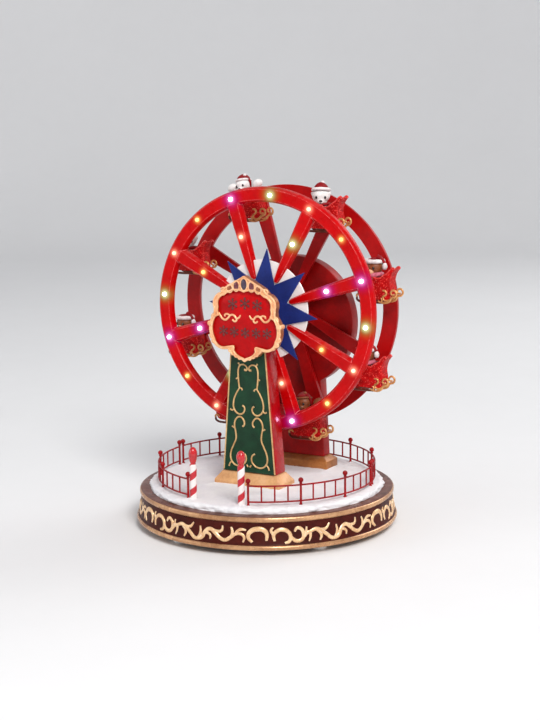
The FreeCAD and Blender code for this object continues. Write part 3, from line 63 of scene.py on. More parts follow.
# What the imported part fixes, in mm and degrees
HUB_Z = 183.0
WHEEL_Y = 20.3
SPOKES = 8
FIRST_SPOKE = 107.17
LAMP_CIRCLE = 97.0
MID_CIRCLE = 64.0
SNOW_Z = 36.4
DECK_Z = 31.5
TOWER_FOOT_Z = 47.5
AXLE_BORE = 2.6
ALONG_Y = (0.0, 1.0, 0.0)

# Angles above which an edge is drawn sharp
CAST_EDGE = 38.0
LINE_EDGE = 60.0
SOFT_EDGE = 80.0


# Plain geometry


def polar(radius: float, degrees: float) -> Point:
    """Point on a circle."""
    angle = math.radians(degrees)
    return radius * math.cos(angle), radius * math.sin(angle)


def spoke_angle(number: float) -> float:
    """Angle of a spoke in degrees; a half number lies midway between two."""
    return FIRST_SPOKE - 360.0 / SPOKES * number


def wheel_place(radius: float, number: float) -> Point:
    """(x, z) of a place on the wheel at rest."""
    x, rise = polar(radius, spoke_angle(number))
    return x, HUB_Z + rise


def around(count: int) -> list[float]:
    """Equal steps round a full turn, in radians."""
    return [2 * math.pi * k / count for k in range(count)]


def on_both_sides(lines: Sequence[Sequence[Knot]]) -> list[Sequence[Knot]]:
    """Strokes, then the same strokes on the other side of x = 0."""
    return [*lines, *[[(-x, z, half) for x, z, half in line] for line in lines]]


def upright(y: float) -> Callable[[float, float], Place]:
    """Placing of (x, z) knots on the upright plane at y."""
    return lambda x, z: (x, y, z)


def arc_run(start: Point, middle: Point, end: Point, count: int) -> list[Point]:
    """Points on the arc through three points, without its end.

    Args:
        start: First point.
        middle: Any point between.
        end: Last point.
        count: Number of points.

    Returns:
        The points from start towards end.
    """
    ax, ay = start
    bx, by = middle
    cx, cy = end
    bulge = 2 * (ax * (by - cy) + bx * (cy - ay) + cx * (ay - by))
    if abs(bulge) < 1e-9:
        return [(ax + (cx - ax) * i / count, ay + (cy - ay) * i / count) for i in range(count)]
    a2, b2, c2 = ax * ax + ay * ay, bx * bx + by * by, cx * cx + cy * cy
    ux = (a2 * (by - cy) + b2 * (cy - ay) + c2 * (ay - by)) / bulge
    uy = (a2 * (cx - bx) + b2 * (ax - cx) + c2 * (bx - ax)) / bulge
    radius = math.hypot(ax - ux, ay - uy)
    first = math.atan2(ay - uy, ax - ux)
    via = (math.atan2(by - uy, bx - ux) - first) % (2 * math.pi)
    turn = (math.atan2(cy - uy, cx - ux) - first) % (2 * math.pi)
    if via > turn:
        turn -= 2 * math.pi
    angles = [first + turn * i / count for i in range(count)]
    return [(ux + radius * math.cos(a), uy + radius * math.sin(a)) for a in angles]


def traced(start: Point, steps: Outline, spacing: float = 1.0) -> list[Point]:
    """Points along an outline of lines and arcs.

    Args:
        start: First point.
        steps: End points, or (middle, end) pairs for arcs.
        spacing: Distance between points, in mm.

    Returns:
        The points, without the last end.
    """
    points: list[Point] = []
    here = start
    for step in steps:
        is_arc = isinstance(step[0], tuple)
        middle, there = step if is_arc else (None, step)
        span = math.dist(here, there) * (1.1 if is_arc else 1.0)
        count = max(1, round(span / spacing))
        if is_arc:
            points += arc_run(here, middle, there, count)
        else:
            points += [
                (here[0] + (there[0] - here[0]) * i / count, here[1] + (there[1] - here[1]) * i / count)
                for i in range(count)
            ]
        here = there
    return points


def both_sides(right: Sequence[Point]) -> list[Point]:
    """Closed outline from its right half, which runs from the top to the bottom on x = 0."""
    return list(right) + [(-x, z) for x, z in reversed(right) if abs(x) > 0.05]


def rounded_path(corners: Sequence[Point], per_span: int = 5) -> list[Point]:
    """Smooth closed curve through corners.

    Args:
        corners: Points that the curve passes.
        per_span: Points between two corners.

    Returns:
        Points on the curve.
    """

    def between(p0: float, p1: float, p2: float, p3: float, t: float) -> float:
        """One coordinate at a share t of the way from the second corner to the third."""
        slow = 2 * p1 + (p2 - p0) * t
        fast = (2 * p0 - 5 * p1 + 4 * p2 - p3) * t * t
        return 0.5 * (slow + fast + (3 * p1 - p0 - 3 * p2 + p3) * t**3)

    points: list[Point] = []
    count = len(corners)
    for index in range(count):
        four = [corners[(index + k) % count] for k in (-1, 0, 1, 2)]
        for part in range(per_span):
            points.append(tuple(between(*values, part / per_span) for values in zip(*four)))
    return points


# Modelling by operators


def deselect() -> None:
    """Leave edit mode and select nothing."""
    if bpy.context.object and bpy.context.object.mode != "OBJECT":
        bpy.ops.object.mode_set(mode="OBJECT")
    bpy.ops.object.select_all(action="DESELECT")


def focus(piece: Piece) -> None:
    """Make a piece the only selected one."""
    deselect()
    piece.select_set(True)
    bpy.context.view_layer.objects.active = piece


def in_edit(piece: Piece, *actions: Callable[[], object]) -> None:
    """Run operators on a whole mesh in edit mode."""
    focus(piece)
    bpy.ops.object.mode_set(mode="EDIT")
    select_all()
    for action in actions:
        action()
    bpy.ops.object.mode_set(mode="OBJECT")


def select_all() -> None:
    """Select the whole mesh."""
    bpy.ops.mesh.select_all(action="SELECT")


def outward() -> None:
    """Turn every face outwards."""
    select_all()
    bpy.ops.mesh.normals_make_consistent(inside=False)


def merge_close() -> None:
    """Merge points that lie on each other."""
    select_all()
    bpy.ops.mesh.remove_doubles(threshold=2e-6)
    bpy.ops.mesh.delete_loose()


def extrude(step: Sequence[float]) -> None:
    """Extrude what is selected by a step in metres."""
    bpy.ops.mesh.extrude_region_move(TRANSFORM_OT_translate={"value": step})


def pick_faces(piece: Piece, facing: Callable[[Vector], bool]) -> None:
    """Enter edit mode with some faces selected.

    Args:
        piece: The piece.
        facing: Whether a face is meant, from its normal.
    """
    in_edit(
        piece,
        lambda: bpy.ops.mesh.select_mode(type="FACE"),
        lambda: bpy.ops.mesh.select_all(action="DESELECT"),
    )
    for face in piece.data.polygons:
        face.select = facing(face.normal)
    bpy.ops.object.mode_set(mode="EDIT")


def leave_faces() -> None:
    """Leave edit mode, with points as what is selected next time."""
    bpy.ops.mesh.select_mode(type="VERT")
    bpy.ops.object.mode_set(mode="OBJECT")


def named(piece: Piece, name: str) -> Piece:
    """Give a piece and its mesh one name."""
    piece.name = name
    piece.data.name = name
    return piece


def smoothed(piece: Piece, degrees: float = CAST_EDGE) -> Piece:
    """Smooth shading, with sharp edges above an angle."""
    focus(piece)
    bpy.ops.object.shade_smooth_by_angle(angle=math.radians(degrees))
    return piece


def ring_start(name: str, points: Sequence[Place], filled: bool) -> Piece:
    """Ring of points in mm, made from a circle.

    Args:
        name: Name of the piece.
        points: Where the ring's points go.
        filled: Whether a face closes the ring.

    Returns:
        The new piece.
    """
    deselect()
    fill = "NGON" if filled else "NOTHING"
    bpy.ops.mesh.primitive_circle_add(vertices=len(points), radius=MM, fill_type=fill, location=(0, 0, 0))
    piece = named(bpy.context.object, name)
    for vertex, point in zip(piece.data.vertices, points):
        vertex.co = Vector(point) * MM
    return piece


def turned(
    name: str,
    profile: Sequence[Point],
    steps: int,
    centre: Place = (0.0, 0.0, 0.0),
    axis: Place = (0.0, 0.0, 1.0),
) -> Piece:
    """Closed shape spun from a closed profile.

    Args:
        name: Name of the piece.
        profile: (radius, distance along the axis) points in mm.
        steps: Number of steps round.
        centre: A point on the axis, in mm.
        axis: Direction of the axis.

    Returns:
        The new piece.
    """
    along = Vector(axis)
    side = Vector((1.0, 0.0, 0.0))
    points = [Vector(centre) + side * radius + along * rise for radius, rise in profile]
    piece = ring_start(name, points, False)
    turn = {"steps": steps, "angle": 2 * math.pi, "center": Vector(centre) * MM, "axis": along}
    in_edit(piece, lambda: bpy.ops.mesh.spin(**turn, use_auto_merge=False), merge_close, outward)
    return smoothed(piece)


def on_axle(name: str, profile: Sequence[Point], steps: int) -> Piece:
    """Closed shape spun about the wheel's axle."""
    return turned(name, profile, steps, (0.0, 0.0, HUB_Z), ALONG_Y)


def lofted(name: str, sections: Sequence[Sequence[Place]]) -> Piece:
    """Closed skin through rings of equally many points, by extruding a cap again and again.

    Args:
        name: Name of the piece.
        sections: Rings of points in mm.

    Returns:
        The new piece.
    """
    piece = ring_start(name, sections[0], True)
    hop = Vector((0.0, 0.0, 1.0))
    previous = [Vector(point) * MM for point in sections[0]]
    for section in sections[1:]:
        focus(piece)
        bpy.ops.object.mode_set(mode="EDIT")
        if section is sections[1]:
            select_all()
        extrude(hop)
        bpy.ops.object.mode_set(mode="OBJECT")
        targets = [Vector(point) * MM for point in section]
        for vertex in [v for v in piece.data.vertices if v.select]:
            index = min(range(len(previous)), key=lambda i: (previous[i] + hop - vertex.co).length_squared)
            vertex.co = targets[index]
        previous = targets
    in_edit(piece, outward)
    return smoothed(piece)


def finish_with(piece: Piece, kind: str, **settings: object) -> Piece:
    """Add one modifier and apply it."""
    focus(piece)
    modifier = piece.modifiers.new(kind.title(), kind)
    for key, value in settings.items():
        setattr(modifier, key, value)
    bpy.ops.object.modifier_apply(modifier=modifier.name)
    return piece


def rounded_edges(piece: Piece, width: float, segments: int, angle: float) -> Piece:
    """Round the edges of a piece that are sharper than an angle, by a width in mm."""
    finish_with(
        piece,
        "BEVEL",
        width=width * MM,
        segments=segments,
        limit_method="ANGLE",
        angle_limit=math.radians(angle),
        use_clamp_overlap=False,
        harden_normals=False,
    )
    return smoothed(piece)


def plate(
    name: str,
    outline: Sequence[Point],
    front: float,
    back: float,
    bevel: float = 0.0,
    segments: int = 3,
    angle: float = 50.0,
) -> Piece:
    """Flat piece cut to an (x, z) outline, from front to back along Y.

    Args:
        name: Name of the piece.
        outline: Closed outline in mm.
        front: Y of its front face.
        back: Y of its back face.
        bevel: Rounding of its edges.
        segments: Faces across a rounding.
        angle: Edges sharper than this are rounded.

    Returns:
        The new piece.
    """
    piece = ring_start(name, [(x, front, z) for x, z in outline], True)
    step = (0.0, (back - front) * MM, 0.0)
    in_edit(piece, lambda: extrude(step), outward)
    if bevel:
        return rounded_edges(piece, bevel, segments, angle)
    return smoothed(piece)


def strokes(
    name: str,
    lines: Iterable[Sequence[Knot]],
    place: Callable[[float, float], Place],
    sides: int = 2,
    closed: bool = False,
) -> Piece:
    """Raised rounded lines, made a mesh.

    Args:
        name: Name of the piece.
        lines: Each line as (u, v, radius in mm) knots.
        place: Gives the place in mm of a knot's (u, v).
        sides: Roundness of the lines.
        closed: Whether each line is a loop.

    Returns:
        The new piece.
    """
    deselect()
    bpy.ops.curve.primitive_bezier_curve_add(location=(0, 0, 0))
    piece = bpy.context.object
    curve = piece.data
    curve.dimensions = "3D"
    curve.bevel_depth = MM
    curve.bevel_resolution = sides
    curve.resolution_u = 5
    curve.use_fill_caps = not closed
    curve.splines.clear()
    for line in lines:
        spline = curve.splines.new("BEZIER")
        spline.bezier_points.add(len(line) - 1)
        spline.use_cyclic_u = closed
        for knot, (u, v, radius) in zip(spline.bezier_points, line):
            knot.co = Vector(place(u, v)) * MM
            knot.handle_left_type = knot.handle_right_type = "AUTO"
            knot.radius = radius
    bpy.ops.object.convert(target="MESH")
    piece = named(bpy.context.object, name)
    in_edit(piece, merge_close, outward)
    return smoothed(piece, LINE_EDGE)


def blob(name: str, centre: Place, radii: Place, turn: float = 0.0) -> Piece:
    """Rounded lump, the start of a modelled form.

    Args:
        name: Name of the piece.
        centre: Middle, in mm.
        radii: Half sizes along X, Y and Z.
        turn: Turn about Y, in degrees.

    Returns:
        The new piece.
    """
    deselect()
    bpy.ops.mesh.primitive_uv_sphere_add(segments=20, ring_count=12, radius=1.0, location=(0, 0, 0))
    piece = named(bpy.context.object, name)
    size = Matrix.Diagonal((*radii, 1.0))
    move = Matrix.Translation(Vector(centre))
    piece.data.transform(Matrix.Scale(MM, 4) @ move @ Matrix.Rotation(math.radians(turn), 4, "Y") @ size)
    return piece


def pebble(name: str, centre: Place, radii: Place) -> Piece:
    """Rounded lump that is finished as it is."""
    return smoothed(blob(name, centre, radii), SOFT_EDGE)


def joined(name: str, pieces: Sequence[Piece]) -> Piece:
    """Join pieces into one; each keeps its own materials."""
    if len(pieces) > 1:
        deselect()
        for piece in pieces:
            piece.select_set(True)
        bpy.context.view_layer.objects.active = pieces[0]
        bpy.ops.object.join()
    return named(pieces[0], name)


def melted(name: str, lumps: Sequence[Piece], grain: float) -> Piece:
    """One soft form from lumps that run into each other.

    Args:
        name: Name of the piece.
        lumps: Pieces to melt together.
        grain: Fineness of the form, in mm.

    Returns:
        The new piece.
    """
    piece = joined(name, lumps)
    finish_with(piece, "REMESH", mode="VOXEL", voxel_size=grain * MM, use_smooth_shade=True)
    finish_with(piece, "SMOOTH", factor=0.5, iterations=6)
    return smoothed(piece, SOFT_EDGE)


def copied(
    piece: Piece, name: str, shift: Place = (0.0, 0.0, 0.0), turn: float = 0.0
) -> Piece:
    """Copy with its own mesh, turned about Z through the origin, then moved.

    Args:
        piece: What to copy.
        name: Name of the copy.
        shift: Move in mm.
        turn: Turn about Z in degrees.

    Returns:
        The copy.
    """
    twin = bpy.data.objects.new(name, piece.data.copy())
    bpy.context.scene.collection.objects.link(twin)
    move = Matrix.Translation(Vector(shift) * MM)
    twin.data.transform(move @ Matrix.Rotation(math.radians(turn), 4, "Z"))
    return named(twin, name)


def discard(piece: Piece) -> None:
    """Remove a model that was only copied."""
    bpy.data.objects.remove(piece)


def dress(piece: Piece, *finishes: "Finish") -> Piece:
    """Give a piece its finishes, the first one all over."""
    piece.data.materials.clear()
    for finish in finishes:
        piece.data.materials.append(finish.material())
    return piece


def repaint(piece: Piece, slot: int, test: Callable[[Vector], bool]) -> None:
    """Give faces another of a piece's finishes.

    Args:
        piece: The piece.
        slot: Which of its finishes.
        test: Whether a face is meant, from its middle in mm.
    """
    for face in piece.data.polygons:
        if test(face.center / MM):
            face.material_index = slot


def fit(piece: Piece, body: str, replaced: Sequence[str] = ()) -> Piece:
    """Fix a finished piece to its body.

    Args:
        piece: The piece.
        body: Body that it moves with.
        replaced: CAD nodes that it stands for.

    Returns:
        The piece.
    """
    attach(piece, body)
    if replaced:
        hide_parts(*replaced)
    LOG.info("%s rides on %s and stands for %s", piece.name, body, ", ".join(replaced) or "itself")
    return piece


# Shader effects


def tint(red: int, green: int, blue: int) -> Colour:
    """Linear colour from the 0-255 values that it shows as."""
    values = [v / 255.0 for v in (red, green, blue)]
    return (*[v / 12.92 if v <= 0.04045 else ((v + 0.055) / 1.055) ** 2.4 for v in values], 1.0)


Value = float | Colour | Socket


class NodeSheet:
    """A node tree with short ways to add and join nodes."""

    def __init__(self, tree: bpy.types.NodeTree) -> None:
        """Keep the tree."""
        self.tree = tree

    def add(self, kind: str, settings: dict | None = None, inputs: dict | None = None) -> bpy.types.Node:
        """Add a node.

        Args:
            kind: Its type.
            settings: Its properties.
            inputs: Values or sockets for its inputs, by name or number.

        Returns:
            The node.
        """
        node = self.tree.nodes.new(kind)
        for key, value in (settings or {}).items():
            setattr(node, key, value)
        for key, value in (inputs or {}).items():
            self.give(node.inputs[key], value)
        return node

    def give(self, socket: Socket, value: Value) -> None:
        """Set a socket's value, or link another socket to it."""
        if isinstance(value, Socket):
            self.tree.links.new(value, socket)
        else:
            socket.default_value = value

    def sum(self, operation: str, *values: Value, clamp: bool = False) -> Socket:
        """Result of one arithmetic node."""
        node = self.add("ShaderNodeMath", {"operation": operation, "use_clamp": clamp})
        for index, value in enumerate(values):
            self.give(node.inputs[index], value)
        return node.outputs[0]

    def mix(self, factor: Value, first: Value, second: Value, mode: str = "MIX") -> Socket:
        """Mix of two colours."""
        settings = {"data_type": "RGBA", "blend_type": mode, "clamp_factor": True}
        node = self.add("ShaderNodeMix", settings, {0: factor, 6: first, 7: second})
        return node.outputs[2]

    def times(self, first: Value, second: Value, clamp: bool = False) -> Socket:
        """Product of two values."""
        return self.sum("MULTIPLY", first, second, clamp=clamp)

    def blur(self, vector: Value, scale: Value, detail: float = 3.0) -> Socket:
        """Soft noise between 0 and 1."""
        inputs = {"Vector": vector, "Scale": scale, "Detail": detail, "Roughness": 0.55}
        return self.add("ShaderNodeTexNoise", None, inputs).outputs[0]

    def spread(
        self, value: Value, low: float, high: float, to_low: float = 0.0, to_high: float = 1.0
    ) -> Socket:
        """Value stretched from one range to another."""
        inputs = {"Value": value, 1: low, 2: high, 3: to_low, 4: to_high}
        return self.add("ShaderNodeMapRange", {"clamp": True}, inputs).outputs[0]

    def group(self, tree: bpy.types.NodeTree, **inputs: Value) -> bpy.types.Node:
        """Node of a shared effect, with its inputs."""
        return self.add("ShaderNodeGroup", {"node_tree": tree}, inputs)


Effect = tuple[NodeSheet, bpy.types.Node, bpy.types.Node]


def effect(name: str, inputs: Sequence[tuple], outputs: Sequence[tuple]) -> Effect:
    """Start a shader node group.

    Args:
        name: Its name.
        inputs: (name, socket type, default) of each input.
        outputs: (name, socket type) of each output.

    Returns:
        The sheet, the input node and the output node.
    """
    tree = bpy.data.node_groups.new(name, "ShaderNodeTree")
    for label, kind, default in inputs:
        socket = tree.interface.new_socket(label, in_out="INPUT", socket_type=kind)
        if default is not None:
            socket.default_value = default
    for label, kind in outputs:
        tree.interface.new_socket(label, in_out="OUTPUT", socket_type=kind)
    sheet = NodeSheet(tree)
    return sheet, sheet.add("NodeGroupInput"), sheet.add("NodeGroupOutput")


VECTOR, FLOAT, RGBA = "NodeSocketVector", "NodeSocketFloat", "NodeSocketColor"


@lru_cache(maxsize=None)
def clouding() -> bpy.types.NodeTree:
    """Uneven paint: one colour drifting into another, with fine mottling."""
    sheet, given, result = effect(
        "uneven_paint",
        [("Vector", VECTOR, None), ("Colour", RGBA, None), ("Shade", RGBA, None), ("Scale", FLOAT, 60.0)],
        [("Colour", RGBA)],
    )
    wide = sheet.blur(given.outputs["Vector"], given.outputs["Scale"], 4.0)
    fine = sheet.blur(given.outputs["Vector"], sheet.times(given.outputs["Scale"], 9.0), 2.0)
    both = sheet.sum("ADD", sheet.times(wide, 0.7), sheet.times(fine, 0.3))
    share = sheet.spread(both, 0.38, 0.68)
    sheet.give(result.inputs[0], sheet.mix(share, given.outputs["Colour"], given.outputs["Shade"]))
    return sheet.tree


@lru_cache(maxsize=None)
def edge_wear_and_highlight() -> bpy.types.NodeTree:
    """Mask of rubbed edges, broken up by noise; the same mask paints highlight lines along sharp edges."""
    sheet, given, result = effect(
        "rubbed_and_highlit_edges",
        [("Vector", VECTOR, None), ("Width", FLOAT, 0.0006), ("Amount", FLOAT, 0.5)],
        [("Mask", FLOAT)],
    )
    soft = sheet.add("ShaderNodeBevel", {"samples": 4}, {"Radius": given.outputs["Width"]})
    flat = sheet.add("ShaderNodeNewGeometry").outputs["Normal"]
    dot = sheet.add("ShaderNodeVectorMath", {"operation": "DOT_PRODUCT"}, {0: soft.outputs[0], 1: flat})
    edge = sheet.spread(dot.outputs["Value"], 0.995, 0.86)
    broken = sheet.spread(sheet.blur(given.outputs["Vector"], 420.0), 0.36, 0.62)
    mask = sheet.times(sheet.times(edge, broken), given.outputs["Amount"], clamp=True)
    sheet.give(result.inputs[0], mask)
    return sheet.tree


@lru_cache(maxsize=None)
def moulding_grain() -> bpy.types.NodeTree:
    """Height of a moulded surface: soft waves with a fine grain."""
    sheet, given, result = effect(
        "moulded_grain",
        [("Vector", VECTOR, None), ("Scale", FLOAT, 900.0)],
        [("Height", FLOAT), ("Spread", FLOAT)],
    )
    fine = sheet.blur(given.outputs["Vector"], given.outputs["Scale"], 2.0)
    slow = sheet.blur(given.outputs["Vector"], sheet.times(given.outputs["Scale"], 0.12), 1.0)
    sheet.give(result.inputs[0], sheet.sum("ADD", sheet.times(fine, 0.35), sheet.times(slow, 0.65)))
    sheet.give(result.inputs[1], slow)
    return sheet.tree


@lru_cache(maxsize=None)
def glitter() -> bpy.types.NodeTree:
    """Mask and height of small flakes."""
    sheet, given, result = effect(
        "glitter_flakes",
        [("Vector", VECTOR, None), ("Scale", FLOAT, 1300.0), ("Share", FLOAT, 0.3)],
        [("Mask", FLOAT), ("Height", FLOAT)],
    )
    inputs = {"Vector": given.outputs["Vector"], "Scale": given.outputs["Scale"]}
    cells = sheet.add("ShaderNodeTexVoronoi", None, inputs)
    split = sheet.add("ShaderNodeSeparateColor", None, {0: cells.outputs["Color"]})
    inverse = sheet.sum("SUBTRACT", 1.0, given.outputs["Share"])
    mask = sheet.sum("GREATER_THAN", split.outputs[0], inverse)
    core = sheet.sum("LESS_THAN", cells.outputs["Distance"], 0.42)
    sheet.give(result.inputs[0], sheet.times(mask, core))
    sheet.give(result.inputs[1], split.outputs[1])
    return sheet.tree


@lru_cache(maxsize=None)
def dust_and_top_sheen() -> bpy.types.NodeTree:
    """Mask of upward faces: settled dust, and a painted sheen of light from above."""
    inputs = [("Vector", VECTOR, None), ("Amount", FLOAT, 0.3)]
    sheet, given, result = effect("settled_dust_and_sheen", inputs, [("Mask", FLOAT)])
    normal = sheet.add("ShaderNodeNewGeometry").outputs["Normal"]
    up = sheet.add("ShaderNodeSeparateXYZ", None, {0: normal}).outputs[2]
    patch = sheet.spread(sheet.blur(given.outputs["Vector"], 130.0, 4.0), 0.42, 0.66)
    amount = sheet.times(patch, given.outputs["Amount"])
    sheet.give(result.inputs[0], sheet.times(sheet.spread(up, 0.45, 1.0), amount))
    return sheet.tree


@dataclass(frozen=True)
class Glow:
    """Painted light round one kind of lamp: a pale core and a wide coloured ring, reaches in mm, and a veil
    that darkens the paint under the painted glow.
    """

    core: Colour
    core_reach: float
    colour: Colour
    reach: float
    veil: float


PINK_GLOW = Glow(tint(250, 200, 255), 1.9, tint(124, 16, 140), 4.2, 0.75)
WHITE_GLOW = Glow(tint(232, 255, 205), 2.2, tint(92, 142, 44), 4.0, 0.9)
WARM_GLOW = Glow(tint(255, 200, 160), 2.0, tint(150, 36, 30), 2.8, 0.3)
AMBER_GLOW = Glow(tint(255, 204, 116), 1.75, tint(120, 70, 10), 2.3, 0.4)

# Each circle of lamps: its radius, the angle between two, and the lights in their order from the first spoke
LAMP_GLOWS = (
    (LAMP_CIRCLE, 22.5, (PINK_GLOW, WHITE_GLOW, WARM_GLOW, AMBER_GLOW)),
    (MID_CIRCLE, 45.0, (WARM_GLOW, WHITE_GLOW, PINK_GLOW, AMBER_GLOW)),
)
# Y in metres between which the light grows from none to full
HALO_FADE = (-0.0005, -0.003)
UNLIT: Colour = (0.0, 0.0, 0.0, 1.0)


@lru_cache(maxsize=None)
def lamp_halo() -> bpy.types.NodeTree:
    """Painted glow standing for the coloured light that the small lamps throw on the ring around them, and a
    cover that darkens the ring's paint under it.
    """
    outputs = [("Colour", RGBA), ("Cover", FLOAT)]
    sheet, given, result = effect("lamp_halo", [("Vector", VECTOR, None)], outputs)
    parts = sheet.add("ShaderNodeSeparateXYZ", None, {0: given.outputs["Vector"]})
    x = sheet.times(parts.outputs[0], 1.0 / MM)
    z = sheet.sum("SUBTRACT", sheet.times(parts.outputs[2], 1.0 / MM), HUB_Z)
    radius = sheet.sum("SQRT", sheet.sum("ADD", sheet.times(x, x), sheet.times(z, z)))
    angle = sheet.sum("SUBTRACT", math.radians(FIRST_SPOKE), sheet.sum("ARCTAN2", z, x))
    front = sheet.spread(parts.outputs[1], *HALO_FADE)
    total = cover = None
    for circle, degrees, glows in LAMP_GLOWS:
        step = math.radians(degrees)
        lamps_round = sheet.sum("DIVIDE", angle, step)
        number = sheet.sum("FLOOR", sheet.sum("ADD", lamps_round, 0.5))
        off = sheet.times(sheet.sum("SUBTRACT", lamps_round, number), step * circle)
        away = sheet.sum("SUBTRACT", radius, circle)
        square = sheet.sum("ADD", sheet.times(off, off), sheet.times(away, away))
        which = sheet.sum("FLOORED_MODULO", number, float(len(glows)))
        for index, glow in enumerate(glows):
            same = sheet.times(sheet.sum("COMPARE", which, float(index), 0.2), front)
            for reach, colour in ((glow.core_reach, glow.core), (glow.reach, glow.colour)):
                fade = sheet.sum("EXPONENT", sheet.times(square, -0.5 / reach**2))
                part = sheet.mix(sheet.times(fade, same), UNLIT, colour)
                total = part if total is None else sheet.mix(1.0, total, part, "ADD")
            veil = sheet.times(sheet.times(fade, same), glow.veil)
            cover = veil if cover is None else sheet.sum("ADD", cover, veil, clamp=True)
    sheet.give(result.inputs[0], total)
    sheet.give(result.inputs[1], cover)
    return sheet.tree


class Extra(Enum):
    """What a finish has besides its paint."""

    NONE = "none"
    GLITTER = "glitter"
    HALO = "halo"
    STRIPES = "stripes"
    SPARKLE = "sparkle"


FLAKES_PER_METRE = {Extra.GLITTER: 1250.0, Extra.SPARKLE: 1900.0}
# Where a stripe's edge lies, as a share of a turn, with a soft border
STRIPE_EDGE = (0.255, 0.285)


@dataclass(frozen=True)
class Finish:
    """A painted or moulded surface; widths, relief and scales in metres."""

    name: str
    colour: Colour
    shade: Colour
    # Colour of rubbed edges, which also paints highlight lines along them.
    rub_and_highlight: Colour
    roughness: float = 0.4
    metallic: float = 0.0
    coat: float = 0.0
    coat_roughness: float = 0.08
    specular: float = 0.5
    patch: float = 60.0
    grain: float = 900.0
    relief: float = 0.00006
    rub_and_highlight_width: float = 0.0006
    rub_and_highlight_amount: float = 0.35
    # Colour on upward faces: settled dust, and a painted sheen of light from above.
    dust_and_sheen: Colour = (0.6, 0.55, 0.5, 1.0)
    dust_and_sheen_amount: float = 0.1
    extra: Extra = Extra.NONE
    extra_colour: Colour = (1.0, 1.0, 1.0, 1.0)
    share: float = 0.3
    light: float = 0.0

    def material(self) -> bpy.types.Material:
        """The finish as a material, made once."""
        return finish_material(self)


def stripe_mask(sheet: NodeSheet, where: Socket) -> Socket:
    """Mask of a spiral band, from the piece's own map of turns."""
    band = sheet.add("ShaderNodeUVMap", {"uv_map": "spiral"})
    turns = sheet.add("ShaderNodeSeparateXYZ", None, {0: band.outputs[0]})
    run = sheet.sum("FRACT", sheet.sum("ADD", turns.outputs[0], turns.outputs[1]))
    wobble = sheet.times(sheet.blur(where, 300.0), 0.05)
    return sheet.spread(sheet.sum("PINGPONG", sheet.sum("ADD", run, wobble), 0.5), *STRIPE_EDGE)


@lru_cache(maxsize=None)
def finish_material(finish: Finish) -> bpy.types.Material:
    """Build the material of a finish.

    Args:
        finish: The finish.

    Returns:
        Its material.
    """
    material = bpy.data.materials.new(finish.name)
    material.use_nodes = True
    material.diffuse_color = finish.colour
    sheet = NodeSheet(material.node_tree)
    shader = material.node_tree.nodes["Principled BSDF"]
    where = sheet.add("ShaderNodeTexCoord").outputs["Object"]
    colours = {"Colour": finish.colour, "Shade": finish.shade}
    paint = sheet.group(clouding(), Vector=where, **colours, Scale=finish.patch).outputs[0]
    if finish.extra is Extra.STRIPES:
        paint = sheet.mix(stripe_mask(sheet, where), paint, finish.extra_colour)
    # Rubbed edges, and painted highlight lines along sharp edges.
    wear_and_highlight = sheet.group(edge_wear_and_highlight(), Vector=where, Width=finish.rub_and_highlight_width, Amount=finish.rub_and_highlight_amount)
    paint = sheet.mix(wear_and_highlight.outputs[0], paint, finish.rub_and_highlight)
    # Settled dust on upward faces, and a painted sheen of light from above.
    dust_and_sheen = sheet.group(dust_and_top_sheen(), Vector=where, Amount=finish.dust_and_sheen_amount)
    paint = sheet.mix(dust_and_sheen.outputs[0], paint, finish.dust_and_sheen)
    relief = sheet.group(moulding_grain(), Vector=where, Scale=finish.grain)
    height = relief.outputs[0]
    smoothest, roughest = finish.roughness * 0.82, min(1.0, finish.roughness * 1.25)
    rough = sheet.spread(relief.outputs[1], 0.3, 0.7, smoothest, roughest)
    if finish.extra in FLAKES_PER_METRE:
        scale = FLAKES_PER_METRE[finish.extra]
        flakes = sheet.group(glitter(), Vector=where, Scale=scale, Share=finish.share)
        paint = sheet.mix(flakes.outputs[0], paint, finish.extra_colour)
        rough = sheet.sum("SUBTRACT", rough, sheet.times(flakes.outputs[0], 0.2), clamp=True)
        height = sheet.sum("ADD", height, sheet.times(flakes.outputs[1], 0.8))
    bump = sheet.add("ShaderNodeBump", None, {"Strength": 1.0, "Distance": finish.relief, "Height": height})
    halo = sheet.group(lamp_halo(), Vector=where) if finish.extra is Extra.HALO else None
    # Under the painted lamp glow the ring's paint is darkened, so the glow's colour shows.
    if halo:
        paint = sheet.mix(halo.outputs[1], paint, UNLIT)
    sheet.give(shader.inputs["Base Color"], paint)
    sheet.give(shader.inputs["Roughness"], rough)
    sheet.give(shader.inputs["Normal"], bump.outputs[0])
    shader.inputs["Metallic"].default_value = finish.metallic
    shader.inputs["Coat Weight"].default_value = finish.coat
    shader.inputs["Coat Roughness"].default_value = finish.coat_roughness
    shader.inputs["Specular IOR Level"].default_value = finish.specular
    if finish.light:
        sheet.give(shader.inputs["Emission Color"], halo.outputs[0] if halo else paint)
        shader.inputs["Emission Strength"].default_value = finish.light
    return material


def plain(name: str, colour: tuple[int, int, int], roughness: float, **more: object) -> Finish:
    """A finish whose shade and rubbed colour follow from its colour.

    Args:
        name: Its name.
        colour: Its colour, 0-255.
        roughness: Its roughness.
        more: Any other field of a finish.

    Returns:
        The finish.
    """
    base = tint(*colour)
    darker, lighter, lift = 0.72, 1.25, 0.03
    shade = (*[value * darker for value in base[:3]], 1.0)
    rub_and_highlight = (*[min(1.0, value * lighter + lift) for value in base[:3]], 1.0)
    return Finish(name, base, shade, rub_and_highlight, roughness, **more)


